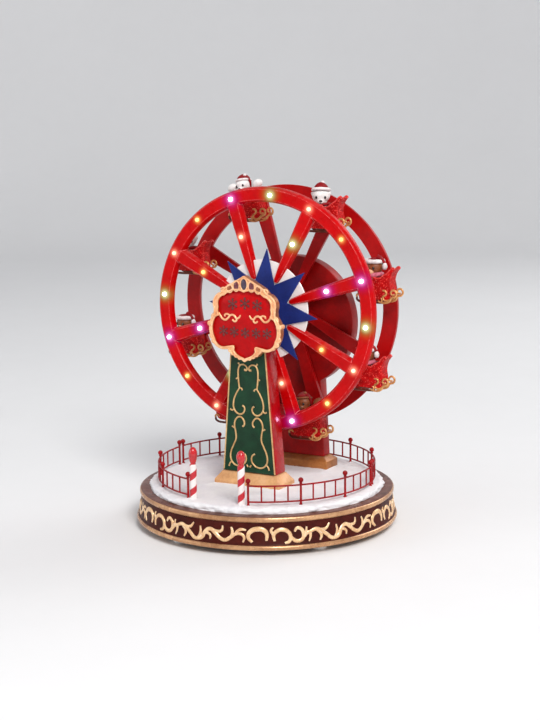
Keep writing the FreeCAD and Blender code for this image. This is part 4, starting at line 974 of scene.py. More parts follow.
# Its pale rub colour at full amount paints highlight lines along the crests of rim and spokes; its halo is a
# painted glow round the lamps.
WHEEL_RED = Finish(
    "wheel_gloss_red", tint(196, 2, 6), tint(170, 1, 4), tint(255, 140, 140), 0.28,
    specular=0.1, coat=0.05, coat_roughness=0.08, rub_and_highlight_amount=1.0, rub_and_highlight_width=0.0009,
    extra=Extra.HALO, light=1.0, relief=0.00003, patch=30.0,
)
# Darker copy of the wheel red for the rear ring, which is the same moulding: painted shade.
REAR_RING_SHADED_RED = Finish(
    "rear_ring_red_painted_shade", tint(178, 8, 10), tint(136, 6, 8), tint(232, 70, 72), 0.36,
    specular=0.16, coat=0.06, coat_roughness=0.12, rub_and_highlight_amount=0.7, relief=0.00003, patch=30.0,
)
TOWER_RED = Finish(
    "tower_satin_red", tint(178, 6, 14), tint(144, 4, 10), tint(236, 74, 70), 0.24,
    specular=0.2, coat=0.25, coat_roughness=0.12, rub_and_highlight_amount=0.5, relief=0.00003,
)
DARK_RED = Finish(
    "rear_tower_dark_red", tint(168, 14, 14), tint(120, 8, 10), tint(196, 50, 42), 0.4,
    specular=0.18, coat=0.05, coat_roughness=0.2, rub_and_highlight_amount=0.4, relief=0.00003,
)
FENCE_RED = Finish(
    "railing_red", tint(158, 10, 18), tint(112, 6, 12), tint(206, 60, 60), 0.34,
    specular=0.15, coat=0.05, coat_roughness=0.12, rub_and_highlight_amount=0.3, rub_and_highlight_width=0.0003,
)
BASE_BROWN = Finish(
    "base_wall_brown", tint(76, 22, 14), tint(46, 10, 8), tint(112, 50, 30), 0.42, patch=40.0, specular=0.12,
    dust_and_sheen_amount=0.02,
)
# Its pale rub colour paints highlights along the band's edges as well as wear.
BASE_GOLD = Finish(
    "base_bronze_gold", tint(210, 162, 118), tint(154, 102, 66), tint(255, 236, 206), 0.26,
    metallic=0.45, patch=36.0, rub_and_highlight_amount=0.8, rub_and_highlight_width=0.0014, relief=0.00005,
)
# The pinkish colour on its upward faces is a painted sheen.
LEDGE_BROWN = Finish(
    "ledge_red_brown", tint(112, 60, 46), tint(72, 34, 24), tint(190, 136, 104), 0.32,
    metallic=0.15, patch=26.0, dust_and_sheen=tint(200, 156, 140), dust_and_sheen_amount=0.14, specular=0.25,
)
# Its pale rub colour paints highlights along the carving as well as wear.
CARVED_GOLD = Finish(
    "carved_gold", tint(250, 212, 164), tint(214, 160, 110), tint(255, 250, 234), 0.26,
    metallic=0.35, patch=120.0, rub_and_highlight_amount=0.8, rub_and_highlight_width=0.0009,
)
# Its pale rub colour paints highlights along the frame's edges as well as wear.
SIGN_GOLD = Finish(
    "sign_cream_gold", tint(252, 200, 150), tint(226, 152, 100), tint(255, 240, 214), 0.33,
    metallic=0.25, patch=110.0, rub_and_highlight_amount=0.7, rub_and_highlight_width=0.0008, specular=0.4,
)
# Darker copy of the sign gold: painted shade on the frame's sides and back.
SIGN_GOLD_SIDE_SHADE = Finish(
    "sign_gold_painted_side_shade", tint(176, 112, 66), tint(132, 74, 50), tint(234, 180, 128), 0.36,
    metallic=0.4, patch=90.0,
)
BOARD_RED = Finish(
    "board_red", tint(192, 2, 8), tint(156, 1, 6), tint(228, 70, 60), 0.34,
    specular=0.12, coat=0.08, coat_roughness=0.12, patch=70.0, rub_and_highlight_amount=0.3, relief=0.00006,
)
MOTIF_RED = plain("snowflake_dark_red", (106, 34, 34), 0.45, patch=220.0)
CELL_PLUM = Finish(
    "crown_cell_plum", tint(62, 42, 66), tint(36, 26, 48), tint(110, 90, 120), 0.16, coat=0.7, patch=260.0,
)
CELL_MAROON = Finish(
    "crown_cell_maroon", tint(118, 34, 40), tint(74, 20, 34), tint(160, 80, 70), 0.16, coat=0.7, patch=260.0,
)
CELL_BROWN = Finish(
    "crown_cell_brown", tint(158, 84, 36), tint(104, 50, 24), tint(200, 130, 70), 0.16, coat=0.7, patch=260.0,
)
PANEL_GREEN = Finish(
    "panel_bottle_green", tint(20, 62, 38), tint(12, 40, 24), tint(48, 96, 66), 0.34,
    specular=0.2, coat=0.1, coat_roughness=0.14, patch=90.0, rub_and_highlight_amount=0.25, relief=0.00012,
)
FILIGREE = Finish(
    "filigree_pale_gold", tint(226, 186, 128), tint(184, 134, 78), tint(255, 238, 200), 0.34,
    metallic=0.25, patch=160.0, rub_and_highlight_amount=0.7, rub_and_highlight_width=0.0005,
)
# Its near-white colour on upward faces paints the light on the sloping tops; its pale rub colour paints
# highlights along edges as well as wear.
PLINTH_TAN = Finish(
    "plinth_tan_gold", tint(230, 176, 122), tint(194, 134, 82), tint(255, 226, 178), 0.38,
    metallic=0.2, patch=48.0, rub_and_highlight_amount=0.8, rub_and_highlight_width=0.0012, dust_and_sheen=tint(244, 238, 236), dust_and_sheen_amount=0.14,
)
# Darker, more orange copy of the plinth tan: painted shade on the rear plinth.
REAR_PLINTH_SHADED = Finish(
    "rear_plinth_painted_shade", tint(186, 120, 62), tint(140, 82, 38), tint(240, 190, 130), 0.36,
    metallic=0.3, patch=48.0, rub_and_highlight_amount=0.7, rub_and_highlight_width=0.0012,
)
SNOW = Finish(
    "snow_flock", tint(252, 250, 251), tint(240, 238, 243), tint(255, 255, 255), 0.8,
    patch=30.0, grain=620.0, relief=0.0006, rub_and_highlight_amount=0.2, dust_and_sheen_amount=0.0,
    extra=Extra.SPARKLE, extra_colour=tint(255, 255, 255), share=0.05, specular=0.25,
)
STAR_NAVY = Finish(
    "star_navy", tint(26, 44, 116), tint(18, 30, 88), tint(84, 100, 178), 0.5,
    patch=60.0, rub_and_highlight_amount=0.5, specular=0.2,
)
DISC_WHITE = Finish(
    "disc_white", tint(240, 234, 232), tint(228, 220, 218), tint(250, 246, 244), 0.4, coat=0.2, patch=50.0,
)
POLE_STRIPE = Finish(
    "pole_spiral_stripe", tint(240, 232, 230), tint(228, 214, 212), tint(255, 250, 250), 0.3,
    coat=0.4, patch=160.0, extra=Extra.STRIPES, extra_colour=tint(190, 12, 34), rub_and_highlight_amount=0.2,
)
BULB_RED = Finish(
    "bulb_red", tint(208, 16, 26), tint(160, 8, 16), tint(250, 120, 116), 0.18, coat=0.8, patch=200.0,
)
SLEIGH_RED = Finish(
    "sleigh_glitter_red", tint(206, 8, 12), tint(140, 4, 8), tint(246, 84, 76), 0.5,
    specular=0.14, patch=260.0, rub_and_highlight_amount=0.8, rub_and_highlight_width=0.0007,
    extra=Extra.GLITTER, extra_colour=tint(255, 92, 84), share=0.26, relief=0.0004,
)
# Lighter copy of the sleigh red on the piping along the top edges: painted highlight.
SLEIGH_EDGE_HIGHLIGHT = Finish(
    "sleigh_edge_painted_highlight", tint(228, 52, 50), tint(196, 24, 26), tint(255, 150, 140), 0.4,
    specular=0.3, patch=300.0, relief=0.0003,
    extra=Extra.GLITTER, extra_colour=tint(255, 160, 150), share=0.2,
)
# Its pale rub colour paints highlights along the scrolls as well as wear.
RUNNER_GOLD = Finish(
    "runner_gold", tint(222, 162, 98), tint(176, 112, 58), tint(255, 232, 190), 0.28,
    metallic=0.35, patch=200.0, rub_and_highlight_amount=0.7, rub_and_highlight_width=0.0005,
)
RUNNER_BROWN = Finish(
    "runner_brown", tint(104, 44, 22), tint(70, 24, 14), tint(200, 130, 76), 0.38,
    metallic=0.2, patch=200.0, rub_and_highlight_amount=0.5,
)
FUR_WHITE = plain("rider_white", (244, 240, 238), 0.55, patch=240.0, grain=1600.0, relief=0.0001)
FUR_BROWN = plain("rider_brown", (138, 70, 32), 0.5, patch=240.0, grain=1600.0, relief=0.0001)
MUZZLE_TAN = plain("muzzle_tan", (226, 170, 130), 0.5, patch=240.0, grain=1600.0, relief=0.0001)
TRIM_WHITE = plain("hat_trim_white", (240, 232, 232), 0.8, patch=320.0, grain=1500.0, relief=0.0004)
HAT_RED = plain("hat_red", (142, 14, 22), 0.6, patch=240.0, grain=1800.0, relief=0.00015, specular=0.2)
SCARF_PINK = Finish(
    "scarf_pink", tint(216, 118, 138), tint(168, 62, 88), tint(236, 160, 176), 0.6, patch=300.0,
)
EYE_BLACK = plain("eye_black", (26, 20, 22), 0.15, coat=0.6, patch=400.0)
FOOT_PALE = plain("foot_rubber", (232, 234, 232), 0.65, patch=120.0, grain=700.0)
STEEL = plain("plain_steel", (178, 178, 180), 0.28, metallic=0.95, patch=300.0)
BRASS = plain("plain_brass", (206, 164, 92), 0.28, metallic=0.95, patch=300.0)
NYLON = plain("gear_nylon", (226, 222, 210), 0.5, patch=200.0)
BLACK = plain("black_moulding", (30, 30, 31), 0.55, patch=80.0, grain=1100.0, relief=0.00012)
BOARD_GREEN = plain("circuit_green", (26, 110, 58), 0.35, coat=0.3, patch=260.0)
CELL_WRAP = plain("cell_wrap", (66, 72, 82), 0.3, coat=0.4, patch=90.0)
MOTOR_IVORY = plain("motor_ivory", (206, 200, 184), 0.5, patch=90.0)
FLOOR = Finish(
    "studio_floor", tint(236, 236, 237), tint(234, 234, 235), tint(236, 236, 237), 0.9,
    patch=3.0, grain=60.0, relief=0.0, specular=0.1, rub_and_highlight_amount=0.0, dust_and_sheen_amount=0.0,
)


class LampTone(Enum):
    """The four kinds of small lamp, with their core colours."""

    WARM = Finish(
        "lamp_warm", tint(255, 222, 180), tint(255, 206, 160), tint(255, 240, 214), 0.2, coat=0.4, light=1.0,
    )
    AMBER = Finish(
        "lamp_amber", tint(255, 220, 136), tint(255, 200, 100), tint(255, 238, 180), 0.2, coat=0.4, light=1.0,
    )
    PINK = Finish(
        "lamp_pink", tint(255, 214, 250), tint(250, 180, 244), tint(255, 245, 255), 0.2, coat=0.5, light=14.0,
    )
    WHITE = Finish(
        "lamp_white", tint(240, 255, 226), tint(226, 250, 200), tint(255, 255, 250), 0.2, coat=0.5, light=9.0,
    )


# Base


@dataclass
class Base:
    """Round base: foot rim, carved wall, band, ledge and feet."""

    rim: float = 112.4
    foot_z: float = 5.0
    wall_low: Point = (110.3, 9.0)
    wall_high: Point = (107.8, 27.2)
    band: float = 109.5
    gilt_low: float = 27.0
    gilt_high: float = 31.4
    gilt_reach: float = 107.6
    ledge_low: float = 31.0
    ledge_reach: float = 108.6
    motifs: int = 6
    first_motif: float = -65.3
    carving: float = 1.34
    flatness: float = 0.55
    feet: int = 5
    first_foot: float = -36.0
    feet_circle: float = 97.5
    foot: tuple[Point, ...] = ((0, 0), (5.7, 0), (6.3, 0.4), (6.5, 1.2), (6.4, 5.0), (0, 5.0))

    def wall_radius(self, z: float) -> float:
        """Radius of the sloping wall at a height."""
        share = (z - self.wall_low[1]) / (self.wall_high[1] - self.wall_low[1])
        return self.wall_low[0] + (self.wall_high[0] - self.wall_low[0]) * share

    def build_shell(self) -> Piece:
        """The drum, with a rounded rim and band."""
        z = self.foot_z
        profile = [
            (105.0, z), (111.2, z), (112.0, z + 0.5), (self.rim, z + 1.5), (self.rim, z + 2.5),
            (112.0, z + 3.4), (111.2, z + 3.9), (110.6, z + 4.3), (110.2, z + 5.0), (107.95, 26.4),
            (108.0, 27.0), (108.5, 27.3), (109.1, 27.7), (self.band, 28.6), (self.band, 29.9),
            (109.2, 30.8), (108.5, 31.3), (107.4, DECK_Z), (104.0, DECK_Z - 0.1), (97.0, DECK_Z),
            (96.0, 29.0), (105.0, 29.0),
        ]

        def gilded(place: Vector) -> bool:
            """Whether a face belongs to the foot rim or the band."""
            on_band = self.gilt_low < place.z < self.gilt_high
            return place.z < self.wall_low[1] or on_band and math.hypot(place.x, place.y) > self.gilt_reach

        def on_ledge(place: Vector) -> bool:
            """Whether a face belongs to the ledge inside the band."""
            return place.z > self.ledge_low and math.hypot(place.x, place.y) < self.ledge_reach

        shell = dress(turned("base_drum", profile, 192), BASE_BROWN, BASE_GOLD, LEDGE_BROWN)
        repaint(shell, 1, gilded)
        repaint(shell, 2, on_ledge)
        return fit(shell, "base", ("base_shell",))

    def motif(self) -> list[list[Knot]]:
        """One sixth of the carved vine, as (degrees, height, half width) strokes."""
        arch = [(-2.2, 11.5, 0.9), (-3.9, 15.6, 1.2), (-3.0, 19.9, 1.45), (0, 22.1, 1.55), (3.0, 20.8, 1.45),
                (4.0, 17.5, 1.2), (3.8, 12.9, 0.8)]
        leaf = [(7.2, 14, 0.6), (6.4, 18.2, 0.95), (5.7, 20.8, 0.9), (6.6, 23.2, 0.55)]
        curl = [(7.2, 12.4, 0.8), (6.8, 17.4, 1.15), (8.5, 20.6, 1.3), (10.6, 21.3, 1.35), (12.8, 19.5, 1.3),
                (13.8, 16, 1.2), (13.2, 11.9, 1.1), (11.4, 10.6, 0.8)]
        loop = [(12.8, 19.5, 0.8), (14.3, 14.5, 1.1), (16.4, 11.8, 1.25), (18.8, 13.0, 1.2),
                (19.4, 17.6, 1.15), (18.3, 21.4, 1.1), (16.6, 22.0, 1.0), (15.6, 19.3, 0.7)]
        vine = [(20, 16, 0.7), (22.9, 18.8, 1.1), (25.2, 20, 1.25), (27.1, 18.4, 1.25), (30, 14.4, 1.2),
                (31.9, 11.4, 1.2), (33.9, 11.0, 1.2), (36, 13, 1.2), (37, 17, 1.2), (39.4, 20, 1.25),
                (41.5, 17.5, 1.2), (44, 13.6, 1.2), (46.2, 12.2, 1.2), (48.8, 14.9, 1.15), (50.6, 17.6, 0.9)]
        hooks = [
            [(18, 12.1, 0.6), (20.2, 15.9, 1.0), (20.9, 22.5, 0.55)],
            [(20.2, 15.9, 0.8), (22, 18.3, 1.0), (22.4, 15.5, 0.9), (21.7, 10.8, 0.5)],
            [(25.2, 19.5, 0.8), (27.3, 14.8, 1.0), (26.6, 10.8, 0.55)],
            [(26.7, 19.5, 0.7), (29.5, 19.4, 1.0), (31.3, 23.2, 0.55)],
            [(33.6, 11.4, 0.7), (34.9, 15.5, 1.0), (34.7, 21.4, 0.55)],
            [(35.1, 13.9, 0.7), (37.6, 16.6, 1.0), (39.5, 14.9, 0.9), (39.5, 12, 0.5)],
            [(40.1, 20.1, 0.7), (42.9, 18.6, 1.0), (44.7, 19.7, 0.9), (45.1, 23.6, 0.5)],
            [(48.7, 14.9, 0.7), (49.4, 19.2, 1.0), (48.8, 22.9, 0.55)],
            [(50.1, 16.7, 0.7), (52.7, 21.2, 1.0), (55.3, 21, 0.6)],
            [(50.1, 16.7, 0.7), (52.7, 17.9, 1.0), (54.4, 15.5, 0.9), (54, 11.3, 0.5)],
        ]
        return [arch, leaf, curl, loop, vine] + hooks

    def build_frieze(self) -> Piece:
        """The gilded vine all round the wall."""
        lines = []
        for number in range(self.motifs):
            start = self.first_motif + 360.0 / self.motifs * number
            for stroke in self.motif():
                lines.append([(start + angle, z, half * self.carving) for angle, z, half in stroke])

        def on_wall(angle: float, z: float) -> Place:
            """Place on the wall."""
            return (*polar(self.wall_radius(z) - 0.1, angle), z)

        frieze = strokes("base_carving", lines, on_wall)
        for vertex in frieze.data.vertices:
            x, y, z = vertex.co / MM
            reach, wall = math.hypot(x, y), self.wall_radius(z)
            if reach > wall:
                share = (wall + (reach - wall) * self.flatness) / reach
                vertex.co = Vector((x * share, y * share, z)) * MM
        smoothed(frieze, LINE_EDGE)
        return fit(dress(frieze, CARVED_GOLD), "base")

    def build_feet(self) -> Piece:
        """The soft round feet."""
        feet = []
        for number in range(self.feet):
            x, y = polar(self.feet_circle, self.first_foot + 360.0 / self.feet * number)
            feet.append(turned("foot", self.foot, 28, (x, y, 0.0)))
        return fit(dress(joined("soft_feet", feet), FOOT_PALE), "base", ("base_feet",))

    def build(self) -> None:
        """All of the base."""
        self.build_shell()
        self.build_frieze()
        self.build_feet()


@dataclass
class Plinth:
    """Block with sloping shoulders under a tower."""

    name: str
    node: str
    half_x: float
    front: float
    back: float
    step_z: float
    top_half: float
    top_front: float
    top_back: float
    low_z: float = 35.5
    top_z: float = TOWER_FOOT_Z
    rounding: float = 0.7
    finish: Finish = PLINTH_TAN

    def build(self) -> Piece:
        """The block, from a cube whose top is drawn up and in."""
        deselect()
        middle = ((self.front + self.back) / 2, (self.low_z + self.step_z) / 2)
        bpy.ops.mesh.primitive_cube_add(size=MM, location=(0, 0, 0))
        piece = named(bpy.context.object, self.name)
        size = (2 * self.half_x, self.back - self.front, self.step_z - self.low_z)
        piece.data.transform(Matrix.Translation(Vector((0, *middle)) * MM) @ Matrix.Diagonal((*size, 1.0)))
        pick_faces(piece, lambda normal: normal.z > 0.9)
        extrude((0, 0, (self.top_z - self.step_z) * MM))
        leave_faces()
        for vertex in [v for v in piece.data.vertices if v.select]:
            vertex.co.x = math.copysign(self.top_half, vertex.co.x) * MM
            vertex.co.y = (self.top_front if vertex.co.y / MM < middle[0] else self.top_back) * MM
        rounded_edges(piece, self.rounding, 3, 12)
        return fit(dress(piece, self.finish), "base", (self.node,))


FRONT_PLINTH = Plinth(
    "front_block", "front_plinth", half_x=31.3, front=-36.2, back=-7.8, step_z=40.0,
    top_half=25.9, top_front=-30.3, top_back=-13.2,
)
REAR_PLINTH = Plinth(
    "rear_block", "back_plinth", half_x=35.5, front=44.5, back=67.0, step_z=44.0,
    top_half=30.8, top_front=49.2, top_back=62.3, finish=REAR_PLINTH_SHADED,
)


@dataclass
class SnowField:
    """Snow on the base, lumpy at its rim and banked against the plinths."""

    mounds: Sequence[Point]
    radius: float = 101.0
    level_to: float = 95.0
    ring_gap: float = 3.0
    waves: tuple[Point, ...] = ((0.55, 0.05), (0.35, 0.16), (0.18, 0.5))
    bank_rise: float = 1.1
    bank_reach: float = 3.2
    mound_rise: float = 0.9
    mound_reach: float = 2.6
    mound_end: float = 8.0
    ragged: float = 2.3

    def height(self, x: float, y: float) -> float:
        """Height of the snow's top at a place."""
        place = Vector((x, y, 0.0))
        rise = sum(size * noise.noise(place * fineness) for size, fineness in self.waves)
        for plinth in (FRONT_PLINTH, REAR_PLINTH):
            aside = max(abs(x) - plinth.half_x, 0.0)
            away = math.hypot(aside, max(plinth.front - y, 0.0, y - plinth.back))
            rise += self.bank_rise * math.exp(-((away / self.bank_reach) ** 2))
        for mound_x, mound_y in self.mounds:
            away = math.hypot(x - mound_x, y - mound_y)
            if away < self.mound_end:
                rise += self.mound_rise * math.exp(-((away / self.mound_reach) ** 2))
        return SNOW_Z - 0.1 + rise

    def rim_place(self, x: float, y: float, z: float) -> Place:
        """Where a point of the snow's rim goes, pushed in and out by lumps."""
        reach = math.hypot(x, y)
        place = Vector((x, y, z))
        lump = noise.noise(place * 0.2) * 0.9 + noise.noise(place * 0.55) * 0.7
        share = (reach - self.level_to) / (self.radius - self.level_to)
        scale = 1.0 + (lump - 0.3) * self.ragged * share / reach
        on_top = z > DECK_Z + 1.1
        rise = self.height(x, y) - SNOW_Z + lump * 0.6 if on_top else 0.0
        return x * scale, y * scale, z + rise

    def build(self) -> Piece:
        """The snow field."""
        rings = int(self.level_to / self.ring_gap)
        profile = [(self.ring_gap * k, SNOW_Z) for k in range(rings + 1)] + [(self.level_to, SNOW_Z)]
        profile += [(97.0, 36.3), (98.8, 35.9), (100.0, 35.2), (100.8, 34.3), (self.radius, 33.3)]
        profile += [(self.radius - 0.3, 32.4), (self.radius - 1.1, DECK_Z), (0.0, DECK_Z)]
        snow = turned("snow_field", profile, 300)
        for vertex in snow.data.vertices:
            x, y, z = vertex.co / MM
            if z < DECK_Z + 0.3:
                continue
            if math.hypot(x, y) <= self.level_to + 0.5:
                vertex.co.z = self.height(x, y) * MM
            else:
                vertex.co = Vector(self.rim_place(x, y, z)) * MM
        in_edit(snow, outward)
        return fit(dress(smoothed(snow, SOFT_EDGE), SNOW), "base", ("snow_deck",))


@dataclass
class Railing:
    """Four curved lengths of railing with ball-topped posts."""

    names: tuple[str, ...] = ("fence_front_right", "fence_back_right", "fence_back_left", "fence_front_left")
    radius: float = 93.0
    first: float = -70.5
    section: float = 79.0
    step: float = 82.2
    gaps: int = 12
    post_every: int = 4
    top: float = 16.4
    bottom: float = 3.3
    rail_half: float = 0.72
    bar_half: float = 0.68
    post: tuple[Point, ...] = (
        (0, -1.2), (1.9, -1.2), (1.7, 0.3), (1.15, 0.9), (0.95, 1.6), (0.9, 17.2), (1.4, 17.6), (1.4, 18.0),
        (0.95, 18.4), (1.55, 18.95), (2.0, 19.7), (2.1, 20.5), (1.9, 21.3), (1.4, 22.0), (0.7, 22.4),
        (0, 22.5),
    )

    def angles(self, count: int) -> list[float]:
        """Ends of a number of equal gaps along the first length, in degrees."""
        return [self.first + self.section * k / count for k in range(count + 1)]

    def build_length(self) -> Piece:
        """One length: rails, bars and posts."""
        curve = self.angles(self.gaps * 4)
        rails = [[(a, SNOW_Z + rise, self.rail_half) for a in curve] for rise in (self.bottom, self.top)]
        heights = (self.bottom, (self.bottom + self.top) / 2, self.top)
        bars = []
        for number, angle in enumerate(self.angles(self.gaps)):
            if number % self.post_every:
                bars.append([(angle, SNOW_Z + z, self.bar_half) for z in heights])

        def on_circle(angle: float, z: float) -> Place:
            """Place on the railing's circle."""
            return (*polar(self.radius, angle), z)

        pieces = [strokes("rails", rails + bars, on_circle)]
        for angle in self.angles(self.gaps // self.post_every):
            pieces.append(turned("post", self.post, 18, (*polar(self.radius, angle), SNOW_Z)))
        return dress(joined("railing_length", pieces), FENCE_RED)

    def posts(self) -> list[Point]:
        """Where the posts of all lengths stand."""
        return [
            polar(self.radius, angle + self.step * number)
            for number in range(len(self.names))
            for angle in self.angles(self.gaps // self.post_every)
        ]

    def build(self) -> None:
        """The length, copied round the field."""
        model = self.build_length()
        for number, node in enumerate(self.names):
            length = copied(model, f"railing_{number + 1}", turn=self.step * number)
            fit(length, "base", (node,))
        discard(model)


@dataclass(frozen=True)
class Pole:
    """Place of one striped pole, its height and that of its bulb."""

    x: float
    y: float
    height: float
    bulb: float


@dataclass
class StripedPoles:
    """Two striped poles with bulb-shaped tops at the entrance."""

    poles: tuple[Pole, ...] = (Pole(-20.0, -88.06, 29.0, 14.2), Pole(24.4, -86.93, 32.6, 11.8))
    radius: float = 2.95
    pitch: float = 12.9
    bands: int = 8
    bulb: tuple[Point, ...] = (
        (0.0, -0.04), (2.0, -0.04), (2.3, 0.0), (2.1, 0.05), (2.4, 0.09), (2.85, 0.19), (3.3, 0.32),
        (3.65, 0.48), (3.7, 0.59), (3.5, 0.71), (3.0, 0.82), (2.3, 0.91), (1.35, 0.97), (0.5, 1.0),
        (0.0, 1.0),
    )

    def wrap(self, piece: Piece, x: float, y: float) -> None:
        """Write the spiral's map: turns round the pole and turns up it."""
        layer = piece.data.uv_layers.new(name="spiral")
        for face in piece.data.polygons:
            turns = []
            for index in face.loop_indices:
                point = piece.data.vertices[piece.data.loops[index].vertex_index].co / MM
                around_it = math.atan2(point.y - y, point.x - x) / (2 * math.pi)
                turns.append((around_it, -point.z / self.pitch, index))
            sides = [turn[0] for turn in turns]
            crosses = max(sides) - min(sides) > 0.5
            for side, up, index in turns:
                layer.data[index].uv = (side + 1.0 if crosses and side < 0 else side, up)

    def profile(self, height: float) -> list[Point]:
        """Half of a pole's section, with rings for its stripes."""
        r = self.radius
        body = [(r, 2.0 + k * (height - 3.4) / self.bands) for k in range(self.bands + 1)]
        top = [(r - 0.35, height - 0.3), (r - 1.0, height), (0, height)]
        return [(0, -1.5), (r - 0.1, -1.5), (r, 0.5), *body, *top]

    def build(self) -> None:
        """The poles and their bulbs."""
        poles, bulbs = [], []
        for pole in self.poles:
            foot = (pole.x, pole.y, SNOW_Z)
            poles.append(turned("pole", self.profile(pole.height), 32, foot))
            self.wrap(poles[-1], pole.x, pole.y)
            bulb = [(radius, pole.height + rise * pole.bulb) for radius, rise in self.bulb]
            bulbs.append(turned("bulb", bulb, 32, foot))
        fit(dress(joined("striped_poles", poles), POLE_STRIPE), "base", ("candy_poles",))
        fit(dress(joined("pole_bulbs", bulbs), BULB_RED), "base", ("pole_lamps",))


# Front tower and sign


@dataclass
class FrontTower:
    """Tapering tower with its green panel and pale gold filigree."""

    front: float = -30.0
    back: float = -13.5
    foot_half: float = 25.6
    taper: float = 0.0807
    boss: tuple[Point, ...] = ((AXLE_BORE, -14.0), (9.0, -14.0), (9.0, -9.6), (8.4, -9.0), (AXLE_BORE, -9.0))
    panel_top: float = 158.0
    panel_depth: float = 1.5
    margin: float = 0.6
    edge: float = 0.75
    sunk: float = 0.6

    def half_width(self, z: float) -> float:
        """Half width at a height."""
        return self.foot_half - self.taper * (z - TOWER_FOOT_Z)

    def build_body(self) -> None:
        """The tower and the boss behind its head."""
        head = self.half_width(HUB_Z)
        dome = [(head * math.cos(a), HUB_Z + head * math.sin(a)) for a in around(48)[1:24]]
        half = self.foot_half
        outline = [(half, TOWER_FOOT_Z), (head, HUB_Z), *dome, (-head, HUB_Z), (-half, TOWER_FOOT_Z)]
        body = plate("tower_body", outline, self.front, self.back, 1.0, 3, 60)
        boss = on_axle("tower_boss", self.boss, 48)
        tower = dress(joined("tower_body", [body, boss]), TOWER_RED)
        fit(tower, "base", ("front_tower",))

    def build_panel(self) -> None:
        """The panel, its field sunk inside a gold edge."""
        low, high = TOWER_FOOT_Z + self.margin, self.panel_top
        wide, narrow = self.half_width(low) - self.margin, self.half_width(high) - self.margin
        outline = [(-wide, low), (wide, low), (narrow, high), (-narrow, high)]
        panel = plate("green_panel", outline, self.front - self.panel_depth, self.front)
        pick_faces(panel, lambda normal: normal.y < -0.9)
        bpy.ops.mesh.inset(thickness=self.edge * MM, depth=0)
        extrude((0, self.sunk * MM, 0))
        leave_faces()
        rounded_edges(panel, 0.22, 2, 30)
        dress(panel, PANEL_GREEN, FILIGREE)

        def on_edge(place: Vector) -> bool:
            """Whether a face lies on the raised edge."""
            return abs(place.x) > self.half_width(place.z) - 0.8 - self.edge

        repaint(panel, 1, on_edge)
        fit(panel, "base", ("front_panel",))

    def filigree(self) -> list[list[Knot]]:
        """Scrolls of the panel: those of its left side, and their mirror images."""
        left = [
            [(-3.3, 135.8, 1.0), (-1.7, 135.1, 0.78), (-0.9, 137.1, 0.7), (-2.2, 139.1, 0.68),
             (-4.9, 140.0, 0.68), (-7.5, 139.1, 0.7), (-9.1, 136.2, 0.74), (-9.5, 131.4, 0.74),
             (-9.2, 126.0, 0.74), (-8.4, 119.7, 0.7)],
            [(-7.6, 139.2, 0.5), (-9.2, 141.2, 0.85)],
            [(-8.4, 119.7, 0.6), (-6.6, 119.6, 0.62), (-5.6, 118.0, 0.72)],
            [(-8.4, 119.7, 0.66), (-11.8, 114.4, 0.7), (-14.2, 107.7, 0.74), (-13.8, 101.6, 0.76),
             (-10.4, 97.9, 0.78), (-6.6, 97.7, 0.76), (-4.0, 100.2, 0.74), (-3.9, 103.6, 0.7),
             (-5.6, 104.9, 0.85)],
            [(-13.9, 101.8, 0.6), (-15.6, 100.2, 0.66), (-17.6, 101.0, 0.72)],
            [(-9.9, 128.4, 0.5), (-11.4, 127.4, 0.66)],
            [(-5.6, 87.0, 0.85), (-4.2, 88.4, 0.72), (-4.6, 92.4, 0.72), (-8.3, 95.2, 0.74),
             (-12.0, 93.0, 0.74), (-13.6, 88.2, 0.72), (-12.6, 82.0, 0.7), (-12.2, 76.4, 0.7),
             (-14.6, 70.6, 0.7), (-17.2, 64.6, 0.72), (-17.6, 58.6, 0.74), (-15.0, 54.2, 0.76),
             (-10.8, 52.6, 0.74), (-6.4, 53.4, 0.72)],
            [(-13.0, 84.6, 0.55), (-15.9, 86.4, 0.7)],
            [(-16.2, 56.0, 0.6), (-18.4, 54.2, 0.66), (-19.4, 51.6, 0.74)],
            [(-6.4, 53.4, 0.72), (-3.0, 57.2, 0.7), (-3.0, 62.0, 0.7), (-5.8, 64.4, 0.8)],
        ]
        return on_both_sides(left) + on_both_sides([[(-2.2, 54.4, 0.5), (-1.0, 52.6, 0.8)]])

    def build_filigree(self) -> None:
        """The raised scrolls."""
        lines = strokes("panel_scrolls", self.filigree(), upright(self.front - 1.0))
        fit(dress(lines, FILIGREE), "base")

    def build(self) -> None:
        """All of the tower."""
        self.build_body()
        self.build_panel()
        self.build_filigree()


@dataclass(frozen=True)
class Cell:
    """Dark cell of the crown: its middle, its half sizes and its finish."""

    x: float
    z: float
    half_x: float
    half_z: float
    finish: Finish


